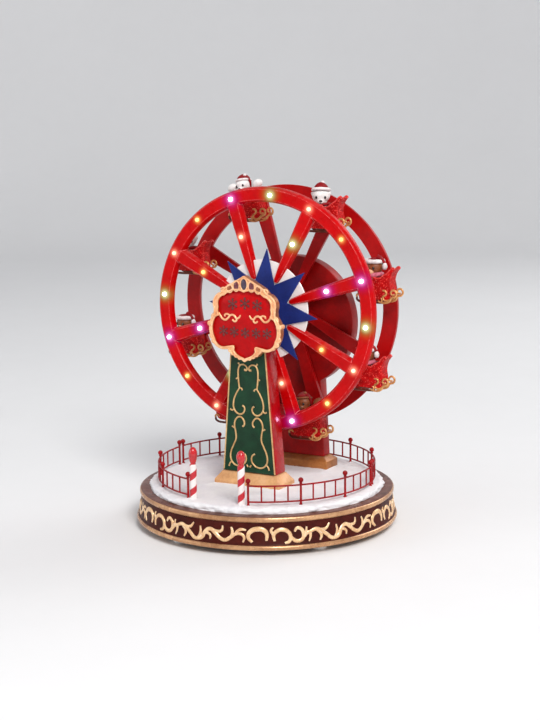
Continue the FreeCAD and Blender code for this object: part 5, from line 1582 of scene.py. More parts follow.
@dataclass
class Sign:
    """Scrolled frame with a crown of dark cells, around a glossy board."""

    front: float = -38.5
    back: float = -31.5
    centre: Point = (0.0, 178.0)
    rays: int = 320
    frame_top: Point = (0.0, 215.2)
    frame_side: Outline = (
        (18.8, 204.9), (22.0, 201.0), ((28.4, 196.4), (28.9, 187.0)), (29.3, 182.2), (31.7, 179.0),
        ((33.7, 169.4), (31.2, 160.5)), ((26.8, 154.9), (20.2, 153.0)), (15.0, 153.3), (15.0, 151.2),
        (13.3, 150.2), (12.4, 148.5), (10.2, 148.2), (9.0, 146.6), (6.6, 146.4), (5.4, 144.9), (2.8, 145.1),
        (0.0, 143.3),
    )
    window_top: Point = (0.0, 201.5)
    window_side: Outline = (
        ((12.6, 202.0), (18.4, 198.4)), ((24.2, 194.6), (24.8, 188.0)), ((25.2, 184.6), (24.2, 181.8)),
        (27.4, 180.2), ((30.8, 170.4), (28.7, 162.0)), ((24.8, 156.2), (17.6, 155.4)), (10.0, 156.8),
        (10.6, 153.2), (9.0, 150.8), (7.0, 149.2), (4.4, 147.8), (2.0, 147.0), (0.0, 146.0),
    )
    cells: tuple[Cell, ...] = (
        Cell(0.0, 208.0, 2.9, 4.7, CELL_PLUM),
        Cell(7.2, 206.4, 2.6, 3.9, CELL_MAROON),
        Cell(13.5, 204.1, 2.4, 2.9, CELL_BROWN),
    )
    shift: float = 0.9
    knob_place: Point = (32.6, 174.2)
    knob: tuple[Point, ...] = (
        (0, -7.0), (2.0, -7.0), (2.05, -0.6), (1.6, -0.4), (2.0, 0.2), (2.2, 0.8), (1.5, 1.3), (0, 1.45),
    )
    flakes_above: tuple[Place, ...] = ((-11.6, 191.2, 4.9), (0.0, 192.2, 5.2), (11.6, 191.2, 4.9))
    flakes_below: tuple[float, ...] = (-20.6, -10.4, 0.0, 10.4, 20.6)

    def outline(self) -> list[Point]:
        """Outer edge of the frame."""
        return both_sides(traced(self.frame_top, self.frame_side) + [self.frame_side[-1]])

    def window(self) -> list[Point]:
        """Edge of the frame's window."""
        return both_sides(traced(self.window_top, self.window_side) + [self.window_side[-1]])

    def seen_from_centre(self, points: Sequence[Point], inset: float = 0.0) -> list[Point]:
        """Where rays from the centre meet an outline.

        Args:
            points: Closed outline.
            inset: Distance to stay inside it.

        Returns:
            One point per ray.
        """
        cx, cz = self.centre
        hits = []
        for number in range(self.rays):
            angle = 2 * math.pi * number / self.rays
            dx, dz = math.cos(angle), math.sin(angle)
            best = 0.0
            for (ax, az), (bx, bz) in zip(points, list(points[1:]) + [points[0]]):
                ex, ez = bx - ax, bz - az
                cross = dx * ez - dz * ex
                if abs(cross) < 1e-9:
                    continue
                along = ((ax - cx) * ez - (az - cz) * ex) / cross
                share = ((ax - cx) * dz - (az - cz) * dx) / cross
                if along > 0 and -1e-6 <= share <= 1 + 1e-6:
                    best = max(best, along)
            reach = best - inset
            hits.append((cx + dx * reach, cz + dz * reach))
        return hits

    def cell_places(self) -> list[tuple[float, Cell]]:
        """Each cell with its x, on both sides of the crown."""
        return [(side * cell.x, cell) for cell in self.cells for side in ((-1, 1) if cell.x else (1,))]

    def hang(self, piece: Piece, slot: str, *nodes: str) -> None:
        """Fit one piece, a little to one side of the tower's middle as in the photograph.

        Args:
            piece: The piece.
            slot: Not used.
            nodes: CAD nodes that it stands for.
        """
        piece.data.transform(Matrix.Translation((self.shift * MM, 0.0, 0.0)))
        fit(piece, "base", nodes)

    def build_frame(self) -> None:
        """The frame: a band between window and edge, with rounded lips, knobs and side lumps."""
        outer = self.seen_from_centre(self.outline())
        inner = self.seen_from_centre(self.window())
        band_y = self.front + 0.5
        band = ring_start("frame_band", [(x, band_y, z) for x, z in outer], False)
        hole = ring_start("frame_hole", [(x, band_y, z) for x, z in inner], False)
        body = joined("frame_body", [band, hole])
        depth = (0, (self.back - band_y) * MM, 0)
        in_edit(
            body,
            lambda: bpy.ops.mesh.bridge_edge_loops(),
            select_all,
            lambda: extrude(depth),
            outward,
        )
        rounded_edges(body, 0.5, 3, 50)
        dress(body, SIGN_GOLD, SIGN_GOLD_SIDE_SHADE)
        # Faces behind the front take the darker gold: painted shade.
        repaint(body, 1, lambda place: place.y > self.front + 2.4)
        edges = []
        for points, inset, half in ((self.outline(), 0.75, 0.75), (self.window(), -0.65, 0.85)):
            edges.append([(x, z, half) for x, z in self.seen_from_centre(points, inset)[::2]])
        lips = strokes("frame_lips", edges, upright(self.front + 0.35), 3, closed=True)
        trim = [lips, self.crown_bars(), self.side_scrolls()]
        for side in (-1, 1):
            place = (side * self.knob_place[0], self.front, self.knob_place[1])
            trim.append(turned("knob", self.knob, 24, place, (0, -1, 0)))
        self.hang(dress(joined("frame_trim", trim), SIGN_GOLD), "sign_gold")
        self.hang(body, "sign_gold", "sign_frame")

    def crown_bars(self) -> Piece:
        """Raised rims of the crown's cells."""
        rims = []
        for x, cell in self.cell_places():
            wide, tall = cell.half_x + 0.35, cell.half_z + 0.35
            rims.append([(x + wide * math.cos(t), cell.z + tall * math.sin(t), 0.62) for t in around(14)])
        return strokes("cell_rims", rims, upright(self.front + 0.3), closed=True)

    def side_scrolls(self) -> Piece:
        """Small curls at the shoulders and the foot of the frame."""
        curl = []
        for part in range(11):
            angle, reach = 2.6 - 0.55 * part, 2.3 - 0.12 * part
            curl.append((20.2 + reach * math.cos(angle), 202.4 + reach * math.sin(angle), 0.75))
        right = [
            curl,
            [(19.2, 200.0, 0.6), (21.6, 198.9, 0.95), (24.0, 198.6, 0.9), (25.2, 196.4, 0.8),
             (24.0, 195.2, 0.7)],
            [(25.0, 195.0, 0.6), (27.0, 193.6, 0.95), (27.6, 190.8, 0.9), (26.2, 189.2, 0.75)],
            [(26.4, 189.4, 0.6), (28.0, 188.0, 0.95), (28.0, 184.8, 0.9), (26.4, 183.4, 0.75)],
            [(28.4, 182.6, 0.7), (30.6, 181.4, 0.9), (31.2, 178.8, 0.8), (29.8, 177.4, 0.65)],
            [(31.6, 171.4, 0.7), (33.0, 169.2, 0.95), (32.6, 166.2, 0.8)],
            [(32.0, 166.0, 0.7), (33.2, 163.6, 1.0), (31.8, 161.4, 0.8)],
            [(31.0, 161.6, 0.7), (31.2, 158.8, 1.0), (29.2, 157.4, 0.8)],
            [(28.4, 158.2, 0.7), (27.4, 155.8, 0.95), (24.8, 154.8, 0.8)],
            [(23.6, 155.2, 0.6), (21.4, 153.8, 0.85), (18.6, 154.0, 0.7)],
            [(16.4, 154.4, 0.7), (15.0, 152.6, 0.9), (13.4, 151.2, 0.7)],
        ]
        return strokes("side_scrolls", on_both_sides(right), upright(self.front + 1.0))

    def build_board(self) -> None:
        """The board and its dividers."""
        edge = self.seen_from_centre(self.window(), -0.6)
        board = plate("red_board", edge, self.front + 2.0, self.back, 0.4, 2)
        self.hang(dress(board, BOARD_RED), "sign_red", "sign_board")
        right = [
            [(25.2, 183.4, 0.9), (23.4, 180.6, 0.95), (21.6, 178.5, 0.95), (18.8, 177.6, 0.95),
             (16.2, 179.2, 0.95), (14.4, 181.2, 0.95), (12.1, 182.1, 0.9), (9.8, 181.2, 0.9),
             (8.2, 179.4, 0.88), (6.2, 179.7, 0.8), (4.2, 182.2, 0.6)],
            [(14.8, 181.8, 0.75), (17.2, 182.6, 0.85), (19.2, 181.7, 0.85), (19.2, 180.5, 0.75)],
            [(8.2, 179.2, 0.75), (8.2, 177.5, 0.85), (10.2, 176.7, 0.85), (12.0, 178.1, 0.75)],
        ]
        dividers = strokes("board_dividers", on_both_sides(right), upright(self.front + 1.9))
        self.hang(dress(dividers, SIGN_GOLD), "sign_gold")

    def snowflake(self, x: float, z: float, size: float) -> list[list[Knot]]:
        """Strokes of one six-armed snowflake, each arm with two twigs."""
        lines = []
        for arm in range(6):
            angle = 60.0 * arm + 30.0
            tip = polar(size, angle)
            lines.append([(x, z, 0.72), (x + tip[0], z + tip[1], 0.55)])
            root = polar(size * 0.56, angle)
            for lean in (-38.0, 38.0):
                twig = polar(size * 0.34, angle + lean)
                end = (x + root[0] + twig[0], z + root[1] + twig[1], 0.44)
                lines.append([(x + root[0], z + root[1], 0.56), end])
        return lines

    def build_snowflakes(self) -> None:
        """Two rows of snowflakes on the board, the lower one sagging a little towards its middle."""
        places = [*self.flakes_above, *[(x, 167.6 + abs(x) * 0.03, 4.5) for x in self.flakes_below]]
        lines = [line for place in places for line in self.snowflake(*place)]
        snow = strokes("board_snowflakes", lines, upright(self.front + 1.9), 1)
        self.hang(dress(snow, MOTIF_RED), "sign_red")

    def build_cells(self) -> None:
        """Domed dark cells of the crown."""
        lenses = []
        for x, cell in self.cell_places():
            lens = pebble("cell", (x, self.front + 0.6, cell.z), (cell.half_x, 1.0, cell.half_z))
            lenses.append(dress(lens, cell.finish))
        self.hang(joined("crown_cells", lenses), "jewel_pink", "sign_jewels")

    def build(self) -> None:
        """All of the sign."""
        self.build_frame()
        self.build_board()
        self.build_snowflakes()
        self.build_cells()


@dataclass
class BackTower:
    """Tall rear support with a round head, and the drive's cover behind it."""

    front: float = 49.5
    back: float = 62.0
    head_z: float = 167.0
    head_radius: float = 58.0
    foot_half: float = 30.5
    taper: float = 0.0545
    post_place: Point = (15.0, 158.0)
    post: tuple[Point, ...] = ((1.3, 0.0), (3.6, 0.0), (3.6, 6.6), (3.2, 7.0), (1.3, 7.0))
    cover_z: float = 176.0
    cover_back: float = 81.5
    lug_x: float = 30.0
    lug: tuple[Point, ...] = ((0.0, 0.0), (4.0, 0.0), (4.0, 2.4), (3.4, 3.0), (0.0, 3.0))
    rib_rises: tuple[float, ...] = (-14.0, -7.0, 0.0, 7.0, 14.0)

    def outline(self) -> list[Point]:
        """Outline of the tower: tapering sides that run into the round head."""
        join = self.foot_half - self.taper * (self.head_z - self.head_radius - TOWER_FOOT_Z)
        low = -math.degrees(math.acos(join / self.head_radius))
        head = [polar(self.head_radius, low + (180 - 2 * low) * k / 96) for k in range(97)]
        sides = [(self.foot_half, TOWER_FOOT_Z), (-self.foot_half, TOWER_FOOT_Z)]
        return [sides[0], *[(x, self.head_z + z) for x, z in head], sides[1]]

    def pair(self, name: str, profile: Sequence[Point], x: float, z: float) -> list[Piece]:
        """Two turned pieces on the tower's back, one on each side."""
        return [turned(name, profile, 24, (side * x, self.back, z), ALONG_Y) for side in (-1, 1)]

    def build(self) -> None:
        """The tower and the cover."""
        body = plate("rear_tower", self.outline(), self.front, self.back, 1.0, 3, 30)
        posts = self.pair("motor_post", self.post, *self.post_place)
        tower = dress(joined("rear_tower", [body, *posts]), DARK_RED)
        fit(tower, "base", ("back_tower",))
        box = rounded_box(27.0, 29.0, 6.0, self.cover_z)
        cover = plate("drive_cover", box, self.cover_back, self.back, 1.6, 4, 60)
        lugs = self.pair("cover_lug", self.lug, self.lug_x, self.cover_z)
        ribs = []
        for rise in self.rib_rises:
            outline = rounded_box(15.0, 0.7, 0.6, self.cover_z + rise)
            ribs.append(plate("cover_rib", outline, self.cover_back + 0.5, self.cover_back - 0.5, 0.2, 2))
        hull = dress(joined("drive_cover", [cover, *lugs, *ribs]), DARK_RED)
        fit(hull, "base", ("housing_cover",))


def rounded_box(half_x: float, half_z: float, corner: float, z: float) -> list[Point]:
    """Outline of a rectangle with round corners.

    Args:
        half_x: Half width.
        half_z: Half height.
        corner: Radius of its corners.
        z: Height of its middle.

    Returns:
        The outline.
    """
    points = []
    for quarter, (sx, sz) in enumerate(((1, 1), (-1, 1), (-1, -1), (1, -1))):
        for part in range(7):
            dx, dz = polar(corner, 90.0 * quarter + 15.0 * part)
            points.append((sx * (half_x - corner) + dx, z + sz * (half_z - corner) + dz))
    return points


# Wheel


@dataclass
class WheelRing:
    """Crowned rim with eight spokes; the rear one is the front one turned about.

    A spoke is given as (radius, width, drop of its crown) from the hub outwards.
    """

    rear: bool = False
    back_y: float = -0.7
    front_y: float = -6.9
    outer: float = 103.7
    inner: float = 90.5
    spoke: tuple[Place, ...] = (
        (27.0, 3.2, 1.2), (28.2, 4.8, 0.8), (29.5, 5.6, 0.55), (36.0, 7.2, 0.3), (42.7, 8.8, 0.1),
        (55.0, 10.1, 0.06), (68.0, 11.4, 0.06), (81.0, 12.6, 0.06), (93.6, 13.6, 0.06),
    )
    rear_spoke: tuple[Place, ...] = (
        (8.0, 5.6, 1.2), (20.0, 6.4, 0.6), (42.7, 8.8, 0.1), (68.0, 11.4, 0.06), (93.6, 13.6, 0.06),
    )
    rear_boss: tuple[Point, ...] = (
        (AXLE_BORE, 41.3), (13.4, 41.3), (14.0, 41.9), (14.0, 46.0), (13.5, 46.5), (AXLE_BORE, 46.5),
    )

    def section(self, half: float, drop: float) -> list[Point]:
        """Rounded cross-section: (distance across, y) points."""
        front = self.front_y + drop
        deep = self.back_y - front
        crown = ((1.0, 0.0), (1.0, 0.12), (0.96, 0.5), (0.86, 0.82))
        right = [(half * across, self.back_y - deep * share) for across, share in crown]
        right.append((half * 0.68, front))
        return right + [(-across, y) for across, y in reversed(right)]

    def build_spoke(self, number: int) -> Piece:
        """One spoke, lofted from the hub outwards."""
        angle = math.radians(spoke_angle(number))
        out = (math.cos(angle), math.sin(angle))
        across = (-math.sin(angle), math.cos(angle))
        rings = []
        for radius, width, drop in self.rear_spoke if self.rear else self.spoke:
            ring = []
            for side, y in self.section(width / 2, drop):
                x = out[0] * radius + across[0] * side
                z = HUB_Z + out[1] * radius + across[1] * side
                ring.append((x, self.turned_y(y), z))
            rings.append(ring)
        return lofted("spoke", rings)

    def turned_y(self, y: float) -> float:
        """Y for this ring."""
        return 2 * WHEEL_Y - y if self.rear else y

    def build(self) -> Piece:
        """The whole ring."""
        half = (self.outer - self.inner) / 2
        middle = (self.outer + self.inner) / 2
        profile = [(middle + side, self.turned_y(y)) for side, y in self.section(half, 0.0)]
        parts = [on_axle("rim", profile, 224)]
        parts += [self.build_spoke(number) for number in range(SPOKES)]
        if self.rear:
            parts.append(on_axle("boss", self.rear_boss, 64))
            ring = dress(joined("rear_wheel_ring", parts), REAR_RING_SHADED_RED)
            return fit(ring, "wheel", ("back_ring",))
        ring = dress(joined("front_wheel_ring", parts), WHEEL_RED)
        return fit(ring, "wheel", ("front_ring",))


@dataclass
class Hub:
    """Star, white disc, sleeve and hanger rods."""

    star_dip: float = 24.5
    star_tip: float = 52.4
    disc_radius: float = 42.7
    disc_front: float = -4.4
    sleeve: tuple[Point, ...] = (
        (AXLE_BORE, -2.9), (8.6, -2.9), (9.0, -2.4), (9.0, 4.0), (8.7, 4.6), (8.7, 36.0), (9.0, 36.6),
        (9.0, 41.3), (AXLE_BORE, 41.3),
    )
    rod: tuple[Point, ...] = ((0, -2.2), (0.8, -2.2), (1.0, -2.0), (1.0, 42.6), (0.8, 42.8), (0, 42.8))

    def build_star(self) -> None:
        """The star in front of the disc, its tips between the spokes."""
        outline = []
        for number in range(SPOKES):
            outline += [wheel_place(self.star_dip, number), wheel_place(self.star_tip, number + 0.5)]
        star = plate("navy_star", outline, self.disc_front - 1.6, self.disc_front, 0.35, 2, 20)
        fit(dress(star, STAR_NAVY), "wheel", ("star",))

    def build_disc(self) -> None:
        """The white disc."""
        r, y = self.disc_radius, self.disc_front
        profile = [(AXLE_BORE, y), (r - 0.4, y), (r, y + 0.4), (r, y + 1.2), (r - 0.3, y + 1.5),
                   (AXLE_BORE, y + 1.5)]
        fit(dress(on_axle("white_disc", profile, 128), DISC_WHITE), "wheel", ("hub_disc",))

    def build(self) -> None:
        """All of the hub."""
        self.build_star()
        self.build_disc()
        fit(dress(on_axle("hub_tube", self.sleeve, 64), DARK_RED), "wheel", ("hub_sleeve",))
        rods = []
        for number in range(SPOKES):
            x, z = wheel_place(LAMP_CIRCLE, number)
            rods.append(turned("rod", self.rod, 16, (x, 0, z), ALONG_Y))
        fit(dress(joined("rods", rods), STEEL), "wheel", ("hanger_rods",))


@dataclass(frozen=True)
class LampGroup:
    """Lamps of one tone: the spokes and gaps whose outer end has one, and the spokes with one midway."""

    tone: LampTone
    node: str
    spokes: tuple[int, ...]
    gaps: tuple[int, ...]
    midway: tuple[int, ...]


@dataclass
class Lamps:
    """Small domed lamps on the front ring, in four colours."""

    seat: float = -6.6
    radius: float = 1.7
    dome: tuple[Point, ...] = (
        (1.0, -1.2), (0.96, -1.6), (0.82, -2.0), (0.58, -2.3), (0.3, -2.45), (0.0, -2.5),
    )
    groups: tuple[LampGroup, ...] = (
        LampGroup(LampTone.WARM, "lamps_warm", (1, 3, 5, 7), (), (0, 4)),
        LampGroup(LampTone.AMBER, "lamps_amber", (), (1, 3, 5, 7), (3, 7)),
        LampGroup(LampTone.PINK, "lamps_pink", (0, 2, 4, 6), (), (2, 6)),
        LampGroup(LampTone.WHITE, "lamps_white", (), (0, 2, 4, 6), (1, 5)),
    )

    def build(self) -> None:
        """One piece for each colour."""
        profile = [(0, 3.0), (self.radius, 3.0), *[(self.radius * share, y) for share, y in self.dome]]
        for group in self.groups:
            places = [wheel_place(LAMP_CIRCLE, number) for number in group.spokes]
            places += [wheel_place(LAMP_CIRCLE, number + 0.5) for number in group.gaps]
            places += [wheel_place(MID_CIRCLE, number) for number in group.midway]
            domes = [turned("dome", profile, 24, (x, self.seat, z), ALONG_Y) for x, z in places]
            piece = dress(joined(f"{group.node}_domes", domes), group.tone.value)
            fit(piece, "wheel", (group.node,))


# Cars


@dataclass
class Sleigh:
    """Sleigh car about its hanger rod, with scrolled runners."""

    half_width: float = 6.5
    wall: float = 1.5
    piping: float = 0.75
    sole_out: float = 5.75
    middle: float = WHEEL_Y
    side: tuple[Point, ...] = (
        (-7.6, -17.2), (-11.6, -15.6), (-13.3, -11.6), (-13.5, -7.4), (-12.6, -4.6), (-9.6, -4.2),
        (-5.0, -3.2), (-2.4, 1.2), (0.0, 2.5), (2.8, 0.6), (6.4, 0.8), (9.6, 2.9), (13.4, 5.3), (16.2, 8.2),
        (18.6, 9.5), (19.7, 8.2), (17.2, 4.6), (15.9, 0.6), (15.5, -3.4), (16.2, -8.0), (16.2, -12.4),
        (14.2, -16.8), (2.0, -17.3),
    )
    tub: tuple[Point, ...] = (
        (-7.6, -17.0), (-11.5, -15.4), (-13.2, -11.6), (-13.2, -6.2), (-12.2, -5.0), (-11.2, -6.4),
        (-11.0, -11.8), (-8.8, -14.8), (10.6, -14.8), (13.6, -11.0), (13.8, -5.0), (13.9, 1.0), (15.4, 5.6),
        (18.0, 8.8), (19.4, 8.2), (17.0, 4.4), (15.7, 0.4), (15.3, -3.4), (16.0, -8.2), (15.9, -12.6),
        (13.8, -16.6), (2.0, -17.1),
    )

    def runner(self) -> list[list[Knot]]:
        """Lines of one runner in the side view."""
        spiral = []
        for part in range(15):
            dx, dz = polar(3.5 - 0.165 * part, -100.0 + 30.0 * part)
            spiral.append((18.9 + dx, -11.2 + dz, 1.0 - 0.02 * part))
        return [
            [(8.4, -19.5, 0.7), (12.6, -19.3, 0.9), (15.6, -17.8, 1.0), (17.2, -15.4, 1.0)] + spiral,
            [(9.6, -9.2, 0.7), (11.9, -9.5, 0.85), (12.9, -11.5, 0.9), (11.6, -13.3, 0.9), (9.9, -14.6, 0.9),
             (10.6, -16.8, 0.9), (13.2, -17.6, 0.85), (15.6, -16.6, 0.7)],
            [(5.6, -17.9, 0.6), (7.6, -18.9, 0.8), (9.0, -17.2, 0.8), (8.0, -15.6, 0.65)],
            [(-9.4, -14.4, 0.6), (-11.2, -13.0, 0.8), (-13.2, -13.4, 0.9), (-13.9, -15.2, 0.8)],
        ]

    def sole(self) -> list[list[Knot]]:
        """Plain lower bar of one runner in the side view."""
        return [
            [(-13.9, -15.2, 0.8), (-13.9, -17.2, 0.95), (-11.4, -19.1, 1.0), (-8.0, -19.5, 1.0),
             (2.0, -19.5, 1.0), (9.6, -19.5, 0.9)],
            [(8.6, -17.0, 0.8), (8.8, -18.4, 0.9), (8.0, -19.3, 0.8)],
            [(-3.0, -17.0, 0.8), (-3.2, -18.4, 0.9), (-2.4, -19.3, 0.8)],
        ]

    def build(self) -> Piece:
        """The car, about a rod at height 0."""
        near, far = self.middle - self.half_width, self.middle + self.half_width
        smooth = rounded_path(self.side, 4)
        walls = [
            plate("wall", smooth, near, near + self.wall, 0.5, 3, 50),
            plate("wall", smooth, far - self.wall, far, 0.5, 3, 50),
        ]
        tub = plate("tub", rounded_path(self.tub, 4), near + 0.4, far - 0.4, 0.3, 2, 50)
        body = dress(joined("body", walls + [tub]), SLEIGH_RED)
        lip = [(x, z, self.piping) for x, z in self.side[3:16]]
        piping = [strokes("piping", [lip], upright(y)) for y in (near + 0.6, far - 0.6)]
        scrolls, bars = [], []
        for side in (-1, 1):
            scroll_y = self.middle + side * (self.half_width + 0.2)
            scrolls.append(strokes("scroll", self.runner(), upright(scroll_y)))
            bars.append(strokes("bar", self.sole(), upright(self.middle + side * self.sole_out)))
        parts = [
            body,
            # The piping takes the painted highlight colour.
            dress(joined("edges", piping), SLEIGH_EDGE_HIGHLIGHT),
            dress(joined("gilt", scrolls), RUNNER_GOLD),
            dress(joined("dark", bars), RUNNER_BROWN),
        ]
        return joined("sleigh_model", parts)


class Kind(Enum):
    """Who sits in a car."""

    PAWS = "white, paws up"
    WHITE = "white"
    BROWN = "brown"
    DARK_PAWS = "brown, paws up"


@dataclass(frozen=True)
class Pose:
    """How a rider holds its head and wears its hat.

    The head looks along -Y before it turns. A hat is (height, radius) rings, its tail places and half widths.
    """

    place: Point
    gaze: float
    nod: float
    roll: float = 0.0
    flat: float = 1.0
    size: float = 1.0
    seat: Place = (0.0, 1.2, 5.2)
    brim_tilt: float = -27.0
    brim_half: float = 1.25
    brim_reach: float = 6.9
    hat: tuple[Point, ...] = ((0.0, 6.6), (2.0, 6.2), (3.8, 5.0), (5.2, 3.4), (6.0, 1.8), (6.4, 0.7))
    bobble: Place = (1.4, 4.0, 10.6)
    bobble_size: Place = (1.6, 1.6, 1.6)
    tail: tuple[tuple[Place, float], ...] = ()


PAWS_UP = Pose(
    place=(-2.8, 10.9), gaze=-8.0, nod=14.0, roll=-12.0, flat=0.96, size=0.92,
    seat=(0.5, 1.5, 3.7), brim_half=1.05, brim_reach=7.1, bobble=(4.0, 1.6, 8.9),
    hat=((0.0, 6.8), (2.2, 6.5), (4.0, 5.4), (5.4, 3.7), (6.3, 1.9), (6.7, 0.7)),
    tail=(
        ((5.4, 0.6, 7.4), 1.2), ((7.6, 0.4, 4.6), 1.25), ((8.2, 0.2, 0.6), 1.1), ((7.4, 0.0, -3.4), 0.7),
    ),
)
POSES = {
    Kind.PAWS: PAWS_UP,
    Kind.DARK_PAWS: PAWS_UP,
    Kind.WHITE: Pose(place=(-2.5, 9.4), gaze=24.0, nod=16.0),
    Kind.BROWN: Pose(
        place=(-1.0, 8.9), gaze=-12.0, nod=9.0, brim_tilt=-9.0, brim_half=1.75, brim_reach=7.4,
        hat=((0.0, 6.8), (1.2, 6.2), (2.0, 4.8), (2.5, 2.8), (2.7, 1.0)),
        bobble=(10.0, 1.1, 1.2), bobble_size=(2.2, 2.1, 3.2),
        tail=(
            ((3.4, 1.2, 8.6), 2.2), ((6.8, 1.2, 7.2), 1.9), ((9.2, 1.1, 5.0), 1.4), ((10.0, 1.1, 2.6), 1.0),
        ),
    ),
}


@dataclass(frozen=True)
class Arm:
    """One arm from the chest to its paw."""

    paw: Place
    size: Place
    turn: float


ARMS_UP = (Arm((-12.2, -3.0, 8.4), (4.7, 3.2, 3.5), -30.0), Arm((11.2, -0.6, 12.2), (4.9, 3.3, 3.8), -34.0))
ARMS_DOWN = (Arm((-7.6, -2.6, -2.2), (2.6, 2.2, 2.4), -30.0), Arm((7.2, 2.6, -0.8), (2.6, 2.2, 2.4), 30.0))


@dataclass
class Rider:
    """Small animal in a hat and scarf, about its rod at height 0."""

    kind: Kind
    middle: float = WHEEL_Y
    shoulder: float = 1.0
    arm_lumps: tuple[Point, ...] = ((0.25, 2.7), (0.45, 2.4), (0.65, 2.3), (0.82, 2.5))
    skin: float = 0.42

    @property
    def pose(self) -> Pose:
        """How this kind sits."""
        return POSES[self.kind]

    @property
    def fur(self) -> Finish:
        """Finish of its body."""
        return FUR_BROWN if self.kind in (Kind.BROWN, Kind.DARK_PAWS) else FUR_WHITE

    @property
    def trim(self) -> Finish:
        """Finish of its hat's brim and bobble."""
        return FUR_BROWN if self.kind is Kind.DARK_PAWS else TRIM_WHITE

    def at(self, x: float, y: float, z: float) -> Place:
        """Place with y counted from the car's middle."""
        return x, self.middle + y, z

    def build_skull(self) -> list[Piece]:
        """Bare head with its muzzle, about the head's own middle."""
        lumps = [
            blob("skull", (0, 0, 0.6), (7.6, 6.9, 6.5)),
            blob("jaw", (0, -1.6, -3.6), (5.2, 4.9, 3.4)),
            blob("ear", (-6.9, 1.6, 1.6), (1.7, 1.2, 2.0)),
            blob("ear", (6.9, 1.6, 1.6), (1.7, 1.2, 2.0)),
        ]
        muzzle = [
            blob("muzzle", (0, -5.9, -2.4), (3.2, 2.6, 2.4)),
            blob("chin", (0, -4.4, -4.6), (2.4, 2.0, 1.6)),
        ]
        if self.kind is not Kind.BROWN:
            return [dress(melted("head", lumps + muzzle, self.skin), self.fur)]
        head = dress(melted("head", lumps, self.skin), self.fur)
        return [head, dress(melted("snout", muzzle, 0.4), MUZZLE_TAN)]

    def build_face(self) -> list[Piece]:
        """Eyes, nose and mouth, about the head's own middle."""
        features = [pebble("eye", (side * 3.7, -6.15, 0.9), (1.0, 0.8, 1.3)) for side in (-1, 1)]
        features.append(pebble("nose", (0, -8.35, -1.5), (1.35, 0.8, 1.0)))
        smile = [
            [(-2.6, -3.4, 0.2), (-1.5, -4.5, 0.32), (0, -3.9, 0.34), (1.5, -4.5, 0.32), (2.6, -3.4, 0.2)],
            [(0, -2.2, 0.24), (0, -3.9, 0.3)],
        ]

        def on_muzzle(x: float, z: float) -> Place:
            """Place on the front of the muzzle."""
            return x, -8.2 + 0.16 * x * x + 0.2 * max(0, -z - 3), z

        features.append(strokes("mouth", smile, on_muzzle, 1))
        return [dress(feature, EYE_BLACK) for feature in features]

    def build_cap(self) -> Piece:
        """The hat without its brim: soft rings, each a little wavy."""
        rings = []
        for index, (rise, reach) in enumerate(self.pose.hat):
            ring = []
            for a in around(20):
                wave = 1.0 + 0.04 * math.sin(3 * a + index)
                ring.append((reach * wave * math.cos(a), reach * 0.94 * wave * math.sin(a), rise))
            rings.append(ring)
        return finish_with(lofted("hat", rings), "SUBSURF", levels=1, render_levels=1)

    def build_brim(self) -> Piece:
        """Puffy brim round the hat."""
        pose = self.pose
        loop = []
        for a in around(20):
            x, y = pose.brim_reach * math.cos(a), pose.brim_reach * 0.95 * math.sin(a)
            loop.append((x, y, pose.brim_half * (1 + 0.08 * math.sin(7 * a))))
        return strokes("brim", [loop], lambda x, y: (x, y, 0.0), 3, closed=True)

    def build_hat(self) -> list[Piece]:
        """Soft red hat with a brim and a bobble, about the head's own middle."""
        pose = self.pose
        cap, brim = self.build_cap(), self.build_brim()
        tilt = Matrix.Rotation(math.radians(pose.brim_tilt), 4, "X")
        for part in (cap, brim):
            part.data.transform(Matrix.Translation(Vector(pose.seat) * MM) @ tilt)
        bobble = pebble("bobble", pose.bobble, pose.bobble_size)
        for vertex in bobble.data.vertices:
            vertex.co += vertex.normal * 0.25 * MM * noise.noise(vertex.co * 900)
        parts = [dress(smoothed(cap, SOFT_EDGE), HAT_RED), dress(brim, self.trim), dress(bobble, self.trim)]
        if pose.tail:
            depth = {(x, z): y for (x, y, z), _ in pose.tail}
            line = [(x, z, half) for (x, y, z), half in pose.tail]
            tail = strokes("tail", [line], lambda x, z: (x, depth[(x, z)], z), 3)
            parts.append(dress(tail, HAT_RED))
        return parts

    def build_head(self) -> list[Piece]:
        """Head, face and hat, turned and put in place."""
        pose = self.pose
        roll = Matrix.Rotation(math.radians(pose.roll), 4, "Y")
        gaze = Matrix.Rotation(math.radians(pose.gaze), 4, "Z")
        nod = Matrix.Rotation(math.radians(pose.nod), 4, "X")
        size = Matrix.Diagonal((pose.size, pose.size, pose.size * pose.flat, 1.0))
        seat = Matrix.Translation(Vector(self.at(pose.place[0], 0, pose.place[1])) * MM)
        parts = self.build_skull() + self.build_face() + self.build_hat()
        for part in parts:
            part.data.transform(seat @ (roll @ gaze) @ (size @ nod))
        return parts

